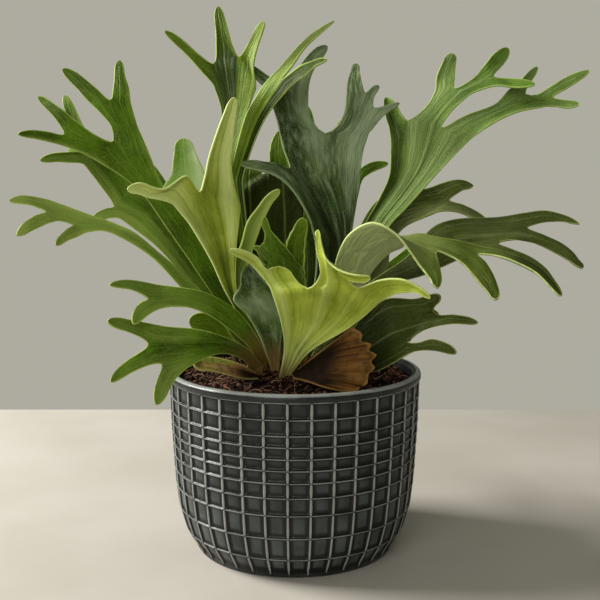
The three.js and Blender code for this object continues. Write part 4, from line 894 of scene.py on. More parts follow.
# A frond's straps, from the root on and from left to right: how many forks lie below the strap, its rows,
# and its tip or the points of its fork. A row holds the left edge's x and z, the right edge's x and z, and
# how far each edge lies behind the upright plane; a point holds x, z and that depth. All are in mm.
# A ridge holds where it is across, how wide and how high it is in mm, and how much lighter it is painted,
# which is a painted highlight on a raised ridge and painted shade in a sunken crease.
MATURE = {
    "frond_left_high": {
        "cup": -0.06,
        "ridges": [(0.5, 0.02, 0.5, 0.15), (0.25, 0.02, 0.4, 0), (0.77, 0.02, 0.4, 0)],
        "sheen": [(0, 0.5), (0.035, 0.4), (0.06, 0), (0.85, 0), (0.9, 0.15), (1, 0.4)],
        "shade": [(0, -0.7), (0.35, -0.15), (0.5, -0.05), (0.8, -0.05), (1, -0.25)],
        "straps": [
            (0, [(-24, 116.5, -17.5, 118.5, 0, 0), (-38, 139.5, -31, 145, 6, 8),
             (-55, 166.5, -45.5, 171, 6, 8), (-74.5, 196.5, -60.5, 201, 4, 4),
             (-100.5, 232, -82, 229.5, 0, 0)], [(-125, 248.5, -2), (-115, 260.5, -4), (-92, 254, -4)]),
            (1, [(-136.5, 254.5, -126, 265, -6, -8)], [(-147, 258, -10), (-145, 265, -10),
             (-137.5, 273.5, -10)]),
            (2, [(-156.5, 260.5, -155.5, 266.5, -14, -14), (-166, 262.5, -165, 267.5, -18, -18)],
             (-174, 265, -22)),
            (2, [(-149, 273, -145, 280, -8, -8), (-155, 280, -152, 285, -4, -4)], (-160.5, 288, 0)),
            (1, [(-115.5, 270, -99, 270.5, 0, 4)], [(-122.5, 278.5, 4), (-115.5, 286, 6),
             (-102.5, 283.5, 8)]),
            (2, [(-129.5, 285.5, -123.5, 293, 8, 8), (-137.5, 294.5, -132.5, 300.5, 12, 12)],
             (-144.5, 305, 16)),
            (2, [(-113.5, 294, -103.5, 293, 14, 14), (-112.5, 302.5, -106, 302.5, 22, 22)],
             (-109, 310, 28)),
        ],
    },
    "frond_left_behind": {
        "cup": 0.06,
        "ridges": [(0.35, 0.02, 0.4, 0), (0.7, 0.02, 0.4, 0)],
        "sheen": [(0, 0.65), (0.2, 0.65), (0.28, 0.25), (0.45, 0.4), (0.59, -0.1), (0.75, 0.1), (1, 0.2)],
        "straps": [
            (0, [(-26.5, 119.5, -21, 121.5, 10, 10), (-44.5, 145.5, -36.5, 149.5, 22, 22),
             (-67, 170, -57.5, 176.5, 26, 26), (-87.5, 193.5, -75.5, 205, 26, 26),
             (-101, 204.5, -90, 226.5, 26, 28)], [(-111, 212, 26), (-115, 219.5, 28), (-98, 232.5, 28)]),
            (1, [(-117, 212.5, -120, 218.5, 25, 26), (-123, 210.5, -126, 215.5, 22, 24)], (-131, 208, 20)),
            (1, [(-124, 234, -106.5, 245, 30, 30)], [(-133, 246, 30), (-129, 255, 32),
             (-116.5, 257.5, 34)]),
            (2, [(-143, 247, -141.5, 254, 26, 28), (-152, 247.5, -151, 253.5, 22, 22)],
             (-160.5, 248.5, 18)),
            (2, [(-136.5, 262.5, -130, 266.5, 38, 38), (-143.5, 278, -137, 280, 44, 44)],
             (-143.5, 288.5, 50)),
        ],
    },
    "frond_left_drooping": {
        "cup": -0.1,
        "ridges": [(0.5, 0.03, 0.5, 0.1)],
        "sheen": [(0, 1), (0.12, 0.7), (0.25, 0.5), (0.7, 0.6), (1, 1)],
        "shade": [(0, -0.7), (0.35, -0.15), (0.5, 0), (0.85, 0.05), (1, 0.5)],
        "straps": [
            (0, [(-29, 116.5, -24.5, 120, -8, -8), (-49, 140.5, -43, 148, -8, -6),
             (-71, 165.5, -62, 167.5, -10, -4), (-92.5, 188, -88, 190.5, -14, -8),
             (-107.5, 198, -103, 203.5, -16, -12), (-121, 204, -117.5, 210, -17, -12)],
             [(-131.5, 203.5, -18), (-141, 207.5, -20), (-128, 213.5, -14)]),
            (1, [(-139.5, 200.5, -145, 205.5, -22, -26), (-146, 197.5, -149.5, 201.5, -28, -30)],
             (-152, 195, -34)),
            (1, [(-150, 210.5, -142, 218.5, -22, -16)], [(-156.5, 209, -26), (-158, 216.5, -26),
             (-155, 223.5, -20)]),
            (2, [(-163.5, 206, -164, 214.5, -30, -30), (-170, 203, -171.5, 210, -36, -36)],
             (-177, 201, -40)),
            (2, [(-163, 219, -163.5, 225.5, -29, -25), (-170.5, 221, -171, 226.5, -34, -32)],
             (-181, 223, -38)),
        ],
    },
    "frond_centre_behind": {
        "cup": 0.08,
        "shade": [(0, -1), (0.75, -1), (0.9, 0.2), (1, 0.45)],
        "straps": [
            (0, [(-9, 120.5, -3.5, 120.5, 18, 18), (-17, 160, -1.5, 160, 24, 24),
             (-33.5, 194.5, 5.5, 196.5, 30, 26)], [(-37, 224, 34), (-17.5, 241, 34), (6, 226.5, 30)]),
            (1, [(-35.5, 234, -20.5, 240, 38, 38)], (-27.5, 245, 42)),
            (1, [(-16, 248.5, -2.5, 245, 36, 34)], (-9, 267, 40)),
        ],
    },
    "frond_torn": {
        "cup": 0.05,
        "sheen": [(0, 0), (0.6, -0.2), (0.9, -0.45), (1, -0.35)],
        "shade": [(0, -0.4), (0.5, 0.1), (1, 0.4)],
        "torn": 0.1,
        "straps": [
            (0, [(-7.5, 116.5, -2.5, 116.5, -20, -20), (-12, 140.5, -3, 140.5, -22, -22),
             (-18.5, 162.5, 7.5, 160, -24, -20)], [(-22, 184.5, -24), (-20, 196.5, -24),
             (3.5, 184.5, -18)]),
            (1, [(-24.5, 191.5, -22, 194.5, -23, -23)], (-26.5, 194, -23)),
            (1, [(-20, 201, -7.5, 197, -27, -25), (-21, 206.5, -14.5, 204.5, -28, -27)], (-19, 213.5, -30)),
        ],
    },
    "frond_left_low_upper": {
        "cup": -0.12,
        "ridges": [(0.4, 0.03, 0.6, 0.1), (0.75, 0.03, -0.4, 0)],
        "sheen": [(0, 0.4), (0.2, 0.2), (1, 0.1)],
        "shade": [(0, -1), (0.2, -0.45), (0.35, -0.4), (0.55, 0), (1, 0.25)],
        "straps": [
            (0, [(-24.5, 115.5, -18.5, 120, -26, -26), (-27.5, 127, -22, 130.5, -36, -35),
             (-37.5, 137.5, -28, 141.5, -42, -40), (-51.5, 148, -38, 153.5, -50, -44),
             (-66, 154.5, -57, 164.5, -58, -50)], [(-80, 155.5, -66), (-94.5, 160.5, -68),
             (-86.5, 169, -58)]),
            (1, [(-93, 151, -99.5, 158, -72, -72)], (-104, 144, -80)),
            (1, [(-105.5, 166.5, -105, 172.5, -72, -70)], (-119, 169.5, -80)),
        ],
    },
    "frond_left_low": {
        "cup": -0.12,
        "ridges": [(0.45, 0.02, 0.8, 0.15), (0.62, 0.02, -0.7, -0.1), (0.78, 0.02, 0.5, 0.1)],
        "sheen": [(0, 0.45), (0.12, 0.3), (0.33, 0.1), (0.57, -0.15), (0.7, 0.1), (1, 0.1)],
        "shade": [(0, -1), (0.35, -0.4), (0.55, 0), (1, 0.25)],
        "straps": [
            (0, [(-26.5, 114, -21, 117.5, -31, -31), (-36.5, 123, -29.5, 127, -46, -42),
             (-49.5, 125, -43, 134.5, -56, -50), (-68, 116.5, -63.5, 140.5, -66, -58)], [(-76, 109.5, -72),
             (-86.5, 118, -72), (-95, 131, -68), (-81.5, 142.5, -62)]),
            (1, [(-82, 100, -89.5, 107.5, -76, -76)], (-90, 91, -82)),
            (1, [(-106.5, 112, -109.5, 119.5, -78, -76)], (-119.5, 106, -84)),
            (1, [(-109, 139.5, -108, 147.5, -74, -70)], (-120.5, 146, -80)),
        ],
    },
    "frond_back_centre": {
        "cup": -0.08,
        "shade": [(0, -1), (0.5, -0.8), (0.7, -0.2), (1, 0)],
        "straps": [
            (0, [(1, 119.5, 6.5, 119.5, 16, 16), (6, 160, 17.5, 160, 30, 30),
             (4.5, 201.5, 27.5, 200.5, 44, 46)], [(3.5, 237.5, 60), (17, 249, 64), (35, 236.5, 62),
             (39, 222.5, 58)]),
            (1, [(2, 264.5, 13.5, 264, 74, 72)], (7, 282.5, 82)),
            (1, [(22, 258, 32.5, 254, 70, 72)], (32, 276, 84)),
            (1, [(44, 245, 44, 238, 66, 62)], (59, 246.5, 66)),
        ],
    },
    "frond_back_right": {
        "cup": -0.1,
        "straps": [
            (0, [(15, 125, 19.5, 122.5, 26, 26), (43, 167.5, 51, 158.5, 52, 50),
             (76.5, 197, 83.5, 185.5, 78, 72)], [(96.5, 208.5, 92), (106.5, 201, 86), (100.5, 192, 82)]),
            (1, [(118, 211, 120.5, 203, 102, 98)], (143.5, 210.5, 112)),
            (1, [(118, 199.5, 115.5, 192.5, 92, 88)], (135, 192, 98)),
        ],
    },
    "frond_back_left": {
        "cup": -0.08,
        "straps": [
            (0, [(-18.5, 126.5, -13.5, 127, 20, 20), (-46.5, 162.5, -39.5, 167.5, 40, 40),
             (-83, 210, -71.5, 217.5, 62, 60), (-105.5, 235, -87.5, 244, 76, 74)], [(-121.5, 246, 86),
             (-117.5, 251.5, 90), (-100, 254, 88)]),
            (1, [(-133, 250, -130, 256.5, 98, 98)], (-143, 255, 110)),
            (1, [(-125, 254, -112.5, 256.5, 102, 102)], (-130, 261.5, 114)),
        ],
    },
    "frond_back_low_left": {
        "cup": -0.1,
        "straps": [
            (0, [(-17.5, 123, -11.5, 124, 26, 30), (-36.5, 140.5, -34, 150.5, 48, 50),
             (-57, 153.5, -53, 162, 66, 66)], [(-71, 156, 76), (-73.5, 159, 78), (-70, 163, 76)]),
            (1, [(-79, 156.5, -79, 160.5, 82, 82)], (-92, 158, 86)),
            (1, [(-81.5, 161, -80, 164.5, 86, 84)], (-98, 167.5, 92)),
        ],
    },
    "frond_back_low_right": {
        "cup": -0.1,
        "straps": [
            (0, [(6, 124.5, 12, 123, 34, 32), (32.5, 143, 37, 132.5, 54, 50),
             (53.5, 153.5, 57.5, 137.5, 68, 64)], [(69, 156.5, 76), (73, 147, 76), (68, 136.5, 72)]),
            (1, [(80.5, 156.5, 82, 149.5, 84, 84)], (92.5, 150.5, 92)),
            (1, [(75.5, 145.5, 73, 138.5, 82, 80)], (83.5, 143.5, 88)),
        ],
    },
    "frond_back_drooping": {
        "cup": -0.12,
        "straps": [
            (0, [(-1.5, 126, 3.5, 126, 34, 34), (1, 152, 8.5, 152, 58, 58), (1, 167.5, 17.5, 169, 88, 84)],
             [(-0.5, 162.5, 108), (8.5, 160, 116), (19, 161, 116), (28, 163.5, 106)]),
            (1, [(-1, 152, 5.5, 150.5, 122, 124)], (-0.5, 140.5, 134)),
            (1, [(10, 148, 17.5, 148, 132, 132)], (14, 135, 146)),
            (1, [(22.5, 152, 30.5, 154.5, 126, 122)], (33, 141.5, 136)),
        ],
    },
}
for name, frond in MATURE.items():
    add_frond(name, frond, [green_top, green_under])

# The shaded fronds at the right and in the middle. They hang lower and are a dull, dark olive green, which
# is partly painted shade.
# They grow as the others do, from stalks in the crown.
shaded_top = leaf_finish("shaded frond, upper side", "29360a", "485420", "98a45e", "848e5a", net=0.05)
shaded_under = leaf_finish("shaded frond, underside", "48541c", "626e34", "98a45e", "8a945c", net=0.05)
SHADED = {
    "frond_right_behind": {
        "cup": -0.06,
        "sheen": [(0, -0.1), (0.3, -0.15), (0.55, 0.1), (0.8, 0.3), (1, 0.7)],
        "shade": [(0, -0.2), (0.4, 0), (1, 0)],
        "straps": [
            (0, [(6.5, 120, 11, 119.5, 24, 24), (20, 162.5, 34.5, 159, 32, 32),
             (29, 185.5, 59, 180, 36, 36), (40.5, 206, 61, 191.5, 38, 36), (53, 224, 68.5, 205, 38, 32)],
             [(84.5, 231.5, 38), (98, 223.5, 32), (90, 216, 28)]),
            (1, [(93, 234.5, 103.5, 228, 38, 34), (102.5, 236.5, 108.5, 230.5, 38, 34)], (113, 232.5, 36)),
            (1, [(107, 220.5, 102.5, 216, 31, 27), (114.5, 217, 111, 213, 29, 25)], (123, 208.5, 22)),
        ],
    },
    "frond_right_long": {
        "cup": -0.08,
        "ridges": [(0.5, 0.03, 0.6, 0.2)],
        "shade": [(0, -0.9), (0.42, -0.6), (0.55, -0.25), (0.66, 0.15), (0.8, 0), (1, -0.05)],
        "straps": [
            (0, [(16, 118, 21.5, 116.5, 8, 8), (37, 161, 44, 155.5, 8, 4), (54, 175, 60.5, 169, 8, 2),
             (72, 188, 83, 176, 8, -4), (90.5, 208, 107.5, 187, 10, -8)], [(130.5, 213, 8), (148, 206, 0),
             (129, 196.5, -6), (117, 190.5, -12)]),
            (1, [(147, 215.5, 156, 209, 6, 0), (158.5, 217, 164.5, 210, 2, -2),
             (170, 214.5, 173, 209.5, -2, -6)], (181, 208.5, -10)),
            (1, [(159.5, 201, 140.5, 198.5, -6, -8), (170, 196, 153.5, 196, -8, -10),
             (178, 190, 165.5, 190.5, -12, -14), (182.5, 184.5, 175.5, 185, -16, -18)],
             (184.5, 180.5, -20)),
            (1, [(138.5, 192.5, 131, 187.5, -12, -16), (150.5, 187.5, 143.5, 182.5, -20, -24),
             (161, 179.5, 154.5, 176.5, -28, -30), (167, 172, 162.5, 169, -34, -34)], (171.5, 162.5, -38)),
        ],
    },
    "frond_right_low": {
        "cup": -0.1,
        "ridges": [(0.5, 0.03, 0.6, 0.15)],
        "sheen": [(0, -0.35), (0.16, -0.3), (0.3, -0.5), (0.6, -0.5), (1, -0.3)],
        "shade": [(0, -1.1), (0.35, -1), (0.55, -0.4), (0.65, -0.1), (0.75, 0.15), (1, 0.15)],
        "straps": [
            (0, [(17.5, 113.5, 24, 108.5, -24, -24), (30.5, 130, 37, 111.5, -34, -38),
             (44.5, 149, 53.5, 113.5, -42, -50), (58.5, 160, 65.5, 119.5, -46, -56)], [(75.5, 160.5, -52),
             (89.5, 152.5, -58), (73.5, 132.5, -60), (71, 123, -60)]),
            (1, [(84.5, 162.5, 91, 156.5, -57, -60)], (93.5, 162.5, -62)),
            (1, [(93.5, 150, 83, 140, -60, -62), (102, 150.5, 99, 144, -66, -67),
             (109.5, 149.5, 108.5, 144, -70, -71)], (118, 145, -74)),
            (1, [(79.5, 132, 77, 126, -62, -63), (88.5, 134.5, 87.5, 127, -66, -66),
             (98, 132, 96.5, 125.5, -70, -70)], (104.5, 125, -74)),
        ],
    },
}
for name, frond in SHADED.items():
    add_frond(name, frond, [shaded_top, shaded_under])

# The tall frond at the middle. It forks low into a broad strap that leans left and a narrow one that
# leans right, and its blade is vivid green. A pale sheen is painted on parts of it, and painted shade
# darkens the left lobes of the broad strap and the lower strap of the narrow one.
tall_top = leaf_finish("tall frond, upper side", "3c5800", "5a7206", "a9c06a", "96aa5c", dark="162800")
TALL = {
    "frond_centre_tall": {
        "cup": 0.1,
        "ridges": [(0.23, 0.02, 0.6, 0), (0.7, 0.03, -0.6, -0.2)],
        "sheen": [(0, -0.9), (0.11, -1.2), (0.13, -1.5), (0.225, -1.5), (0.25, -0.5), (0.4, -0.55),
            (0.412, 0), (0.44, -0.1), (0.55, 0.1), (0.68, -0.2), (0.8, 0.1), (0.83, -1.7), (1, -1.7)],
        "shade": [(0, -0.7), (0.35, -0.1), (0.5, 0.1), (0.72, 0.2), (0.82, 0.9), (1, 1)],
        "straps": [
            (0, [(-16, 120.5, -11, 121.5, 8, 8), (-26, 153.5, -20, 154.5, 12, 12),
             (-37.5, 188, -28.5, 190, 14, 12), (-43.5, 218.5, -31.5, 220, 12, 6)], [(-48, 236.5, 10),
             (-41.5, 237.5, 4), (-32.5, 235, -2)]),
            (1, [(-49, 260, -35.5, 260, 14, 6), (-46, 278.5, -29.5, 278.5, 18, 8)], [(-50.5, 294.5, 22),
             (-50.5, 308.5, 24), (-34.5, 312.5, 20), (-24, 293, 8)]),
            (2, [(-59, 304.5, -59, 313.5, 24, 26), (-70, 316, -69, 322.5, 28, 28)], (-80.5, 328, 30)),
            (2, [(-49, 320, -38.5, 319, 32, 30), (-49.5, 332.5, -42.5, 332.5, 42, 40)], (-47.5, 342.5, 50)),
            (2, [(-32, 315.5, -25.5, 307, 22, 14), (-26.5, 325, -22, 321, 24, 20)], (-19, 333.5, 26)),
            (1, [(-36.5, 257, -26.5, 257, -8, -8), (-30, 278, -17.5, 276, -8, -8)], [(-21, 293, -2),
             (-8, 298.5, -8), (-2.5, 294.5, -14)]),
            (2, [(-6.5, 309.5, -0.5, 308, -2, -4), (4.5, 321.5, 9.5, 320.5, 2, 2)], (24.5, 334, 8)),
            (2, [(3.5, 307, 6.5, 301, -14, -20), (12, 310, 14, 307, -18, -22)], (20, 310.5, -24)),
        ],
    },
}
for name, frond in TALL.items():
    add_frond(name, frond, [tall_top, green_under])

# The bright frond at the right. It is the widest one, mid green, with silvery streaks and yellow-green
# tips, and it spreads like a hand. Its silvery streaks are partly painted sheen, and painted shade darkens
# its left edge.
bright_top = leaf_finish("bright frond, upper side", "2e4a06", "567420", "a8c468", "8fa566")
bright_under = leaf_finish("bright frond, underside", "5c6e2c", "84944c", "c5d28c", "b4c088", fuzz=0.2)
BRIGHT = {
    "frond_right_high": {
        "cup": 0.12,
        "ridges": [(0.12, 0.03, -0.8, -0.2), (0.42, 0.02, 0.7, 0.2), (0.6, 0.015, 0.6, 0.2),
            (0.8, 0.02, 0.4, 0.1)],
        "sheen": [(0, -0.5), (0.12, -0.7), (0.17, -1), (0.22, -0.5), (0.26, 0), (0.38, 0.6), (0.46, 0.5),
            (0.55, 0.15), (0.6, 0.3), (0.65, 0.1), (0.72, 0.45), (0.86, 0.4), (0.91, 0.2), (1, 0.5)],
        "shade": [(0, -0.5), (0.3, -0.1), (0.45, 0.1), (0.6, 0.15), (0.7, -0.05), (0.85, -0.2), (1, -0.1)],
        "straps": [
            (0, [(8.5, 118, 15, 118.5, 12, 12), (28, 162.5, 38, 162, 20, 18),
             (44, 207.5, 59.5, 205.5, 22, 14), (53, 224, 70, 218, 24, 14), (59.5, 239, 87, 237, 24, 12)],
             [(60.5, 256.5, 26), (71.5, 273.5, 22), (92.5, 269.5, 14), (109, 260, 8)]),
            (1, [(59, 269.5, 66.5, 278, 28, 24)], (57, 287.5, 32)),
            (1, [(83.5, 283.5, 98.5, 279.5, 24, 14)], [(87.5, 291.5, 26), (100, 293.5, 20),
             (109, 289, 12)]),
            (2, [(88.5, 300, 99.5, 301, 28, 26), (92.5, 310, 100.5, 309.5, 32, 32)], (98, 314, 36)),
            (2, [(112, 300, 121, 293.5, 16, 8)], [(117.5, 306.5, 18), (124, 300, 12), (127, 294.5, 4)]),
            (3, [(122, 312.5, 130, 307.5, 18, 18)], (132.5, 317.5, 22)),
            (3, [(135.5, 299, 136.5, 293.5, 6, 0)], (150, 295.5, -4)),
            (1, [(107.5, 277, 119.5, 268, 8, 2), (125, 283.5, 136.5, 277.5, 8, 2)], [(133.5, 292, 10),
             (144.5, 289.5, 8), (157, 282, 2)]),
            (2, [(141.5, 299, 147, 296.5, 10, 10)], (151, 306, 14)),
            (2, [(152, 289.5, 160, 282, 6, 0)], [(157.5, 293, 6), (161.5, 288, 2), (163.5, 282, -2)]),
            (3, [(167, 299, 170, 293.5, 6, 2)], (183.5, 304, 6)),
            (3, [(170.5, 286, 170, 281, -4, -6)], (178, 283.5, -8)),
        ],
    },
}
for name, frond in BRIGHT.items():
    add_frond(name, frond, [bright_top, bright_under])

# The arching frond. It rises, turns over and shows its pale green underside up to the bend and its
# darker upper side from there on. The underside's pale colour is partly painted light shining through it,
# and painted light brightens the arch while painted shade darkens the far lobes.
arching_top = leaf_finish("arching frond, upper side", "485c16", "6a7e30", "b0c068", "94a25c")
arching_under = leaf_finish("arching frond, underside", "7a8a3a", "a2b060", "c8d88c", "c0cf90",
                            fuzz=0.25, net=0.35, quilt=1.2)
ARCHING = {
    "frond_right_arching": {
        "cup": -0.06,
        "ridges": [(0.3, 0.04, -1, -0.1), (0.55, 0.04, 1, 0.25), (0.75, 0.03, -0.8, 0)],
        "sheen": [(0, 0), (0.6, 0), (0.73, 0.25), (0.85, 0), (1, -0.2)],
        "shade": [(0, 0), (0.2, 0.8), (0.36, 0.95), (0.48, 1.1), (0.55, 0.7), (0.62, 0.3), (0.71, -0.05),
            (0.8, -0.35), (0.86, -0.8), (1, -0.6)],
        "straps": [
            (0, [(11, 114, 17.5, 114, -14, -14), (17.5, 140.5, 26.5, 139, -22, -20),
             (24.5, 165.5, 41.5, 164.5, -34, -22), (26.5, 186, 51.5, 180, -46, -24),
             (35, 202, 61.5, 190.5, -60, -26), (50, 209.5, 69.5, 194.5, -70, -30),
             (63.5, 203, 68.5, 198.5, -74, -32), (74.5, 190, 79, 202, -74, -36)], [(80, 182, -74),
             (91, 191.5, -58), (92.5, 199.5, -42)]),
            (1, [(84, 176.5, 92.5, 183.5, -77, -68), (87.5, 171.5, 94, 174.5, -80, -76)], (91, 167.5, -82)),
            (1, [(101, 187, 106.5, 197, -58, -44)], [(106.5, 183.5, -60), (116.5, 189, -52),
             (119.5, 194, -44)]),
            (2, [(112.5, 177.5, 121.5, 184.5, -63, -57), (119, 170, 127, 176, -67, -62),
             (125, 163, 130.5, 167.5, -72, -69)], (129.5, 160, -76)),
            (2, [(125.5, 189, 128.5, 192.5, -54, -46), (135, 187, 137.5, 189.5, -58, -50),
             (145, 182.5, 147, 186, -62, -54), (154.5, 177, 157, 179.5, -66, -60),
             (163, 169, 165.5, 171.5, -70, -66)], (171, 162.5, -72)),
        ],
    },
}
for name, frond in ARCHING.items():
    add_frond(name, frond, [arching_under, arching_top])

# The young fronds. They are soft, thin and yellow-green, with strong veins and whitish margins, and
# the one in front bends forward over the rim. Their pale yellow-green is partly painted light shining
# through them, and painted shade darkens their creases and the foot of the one at the left.
young_top = leaf_finish("young frond, upper side", "7e8e1e", "a6b23c", "ccdc8c", "c6d480", "66761c",
                        fuzz=0.15, dark="46560a", roughness=0.55)
young_under = leaf_finish("young frond, underside", "869636", "aebc58", "ccdc88", "c0d084",
                          fuzz=0.25, roughness=0.55)
YOUNG = {
    "frond_front_left": {
        "cup": 0.15,
        "ridges": [(0.03, 0.035, 0.8, 0.5), (0.42, 0.02, -0.9, -0.35), (0.62, 0.03, 0.5, 0),
            (0.8, 0.07, 0.9, 0.6), (0.2, 0.03, 0.5, 0.1)],
        "sheen": [(0, 0.2), (0.12, 0.35), (0.27, 0.1), (0.33, -0.2), (0.45, -0.05), (0.58, -0.3),
            (0.66, -0.1), (0.72, 0.2), (0.82, 0.6), (0.9, 0.6), (1, -0.2)],
        "shade": [(0, -1.8), (0.2, -1.5), (0.35, -0.7), (0.42, -0.6), (0.5, 0), (0.6, 0.05), (0.78, 0.5),
            (1, 0.7)],
        "straps": [
            (0, [(-21, 115.5, -14.5, 118, -17, -17), (-32, 140.5, -25, 143, -22, -22),
             (-42, 160.5, -36.5, 162.5, -26, -26), (-53.5, 184.5, -37.5, 187, -32, -24),
             (-66, 207.5, -35.5, 208.5, -38, -22)], [(-77, 220.5, -42), (-60.5, 229, -34),
             (-34.5, 220.5, -20)]),
            (1, [(-83.5, 223.5, -68, 239, -46, -38), (-93, 225.5, -83, 230.5, -50, -46),
             (-99.5, 227.5, -97.5, 234.5, -52, -52)], (-106, 230, -54)),
            (1, [(-57.5, 236.5, -38, 232.5, -28, -18), (-54, 250, -40, 247, -24, -16),
             (-48, 267.5, -38, 267, -20, -16), (-43, 280.5, -36, 281, -18, -16)], (-37.5, 287.5, -16)),
        ],
    },
    "frond_front_centre": {
        "cup": 0.12,
        "ridges": [(0.04, 0.05, 0.9, 0.1), (0.17, 0.014, -1.2, -0.5), (0.3, 0.03, 0.6, 0.1),
            (0.5, 0.02, 1.5, 0.3), (0.62, 0.014, -0.9, -0.5), (0.78, 0.03, 0.9, 0.15)],
        "sheen": [(0, 0.3), (0.04, 0.05), (0.07, 0.6), (0.1, 0.4), (0.16, -0.1), (0.3, 0), (0.45, 0.1),
            (0.55, 0.2), (0.65, 0.05), (0.9, 0), (1, 0.25)],
        "shade": [(0, 0.7), (0.15, 0.4), (0.3, 0.2), (0.5, 0), (0.6, -0.05), (0.8, -0.1), (1, 0.1)],
        "straps": [
            (0, [(-10, 108.5, -3, 110, -38, -38), (-7, 126, 10, 126, -46, -48),
             (-9, 146, 37, 143, -52, -60)], [(-14.5, 165, -52), (8.5, 167.5, -64), (42, 168.5, -74),
             (53.5, 157.5, -70)]),
            (1, [(-18, 171, 3, 171, -48, -58)], [(-21.5, 175.5, -45), (-17.5, 179.5, -46),
             (-1.5, 176.5, -54)]),
            (2, [(-27.5, 182, -23.5, 187, -44, -46), (-33, 186, -30, 191, -46, -48)], (-41.5, 192.5, -50)),
            (2, [], (-9.5, 181.5, -50)),
            (1, [(13.5, 171, 38.5, 169.5, -66, -76), (16.5, 178, 35.5, 172.5, -67, -77)], [(17, 184.5, -68),
             (21, 187.5, -76), (35, 172.5, -80)]),
            (2, [(14, 193.5, 19.5, 192, -68, -72), (13.5, 200.5, 17.5, 199.5, -68, -70)], (15, 204.5, -68)),
            (2, [(27.5, 180.5, 38, 171.5, -81, -83), (38, 176.5, 43, 171, -85, -85)], (48.5, 174.5, -86)),
            (1, [(53, 172.5, 58.5, 160.5, -78, -76), (61.5, 174, 65, 163.5, -82, -80),
             (70.5, 173.5, 73, 164.5, -86, -84), (78.5, 170, 79, 164, -88, -88)], (87.5, 161, -92)),
        ],
    },
}
for name, frond in YOUNG.items():
    add_frond(name, frond, [young_top, young_under], ridge=0.25, wave=1.5)

# The smallest fronds, which grow low between the others. They are narrow, cupped and fresh green, and
# the margins of some are torn.
fresh_top = leaf_finish("small fresh frond, upper side", "4a640a", "6e8c1c", "acc060", "98ac54")
fresh_under = leaf_finish("small fresh frond, underside", "6a8228", "8a9e4a", "b8c880", "a0b068", fuzz=0.2)
FRESH = {
    "frond_young_narrow": {
        "cup": 0.2,
        "ridges": [(0.5, 0.06, -0.7, -0.3)],
        "sheen": [(0, 0.15), (0.6, 0.25), (0.85, 0.5), (1, 0.6)],
        "shade": [(0, -0.2), (0.3, 0.1), (0.6, 0.2), (1, 1)],
        "straps": [
            (0, [(-17.5, 118.5, -14, 120, -11, -11), (-29, 140.5, -23.5, 141.5, -14, -14),
             (-41.5, 162.5, -35, 163.5, -18, -16), (-40, 179, -31, 178, -20, -16),
             (-33.5, 196.5, -25.5, 196, -20, -16), (-29.5, 210, -21, 208, -20, -16),
             (-24, 218, -17.5, 215.5, -20, -17), (-19, 225.5, -13, 223, -20, -18)], (-9.5, 230.5, -20)),
        ],
    },
    "frond_young_cupped": {
        "cup": 0.3,
        "ridges": [(0.5, 0.06, 0.6, 0.1)],
        "shade": [(0, -0.8), (0.5, -0.5), (1, 0)],
        "torn": 0.09,
        "straps": [
            (0, [(3.5, 118, 8, 118, -10, -10), (3.5, 147, 8.5, 147, -12, -12),
             (-0.5, 170, 7, 170, -14, -14), (-5, 187, 6.5, 184.5, -16, -16), (-6, 195, 7, 194.5, -18, -16),
             (-1.5, 205, 8, 203, -18, -18)], (5.5, 212.5, -20)),
        ],
    },
    "frond_scrap": {
        "cup": 0.1,
        "torn": 0.08,
        "straps": [
            (0, [(-30.5, 118, -27, 119.5, -18, -18), (-44, 132, -40, 136.5, -24, -24),
             (-54, 137.5, -50, 149, -28, -28), (-62.5, 139.5, -57.5, 152.5, -30, -30)], (-68, 146, -32)),
        ],
    },
}
for name, frond in FRESH.items():
    add_frond(name, frond, [fresh_top, fresh_under])

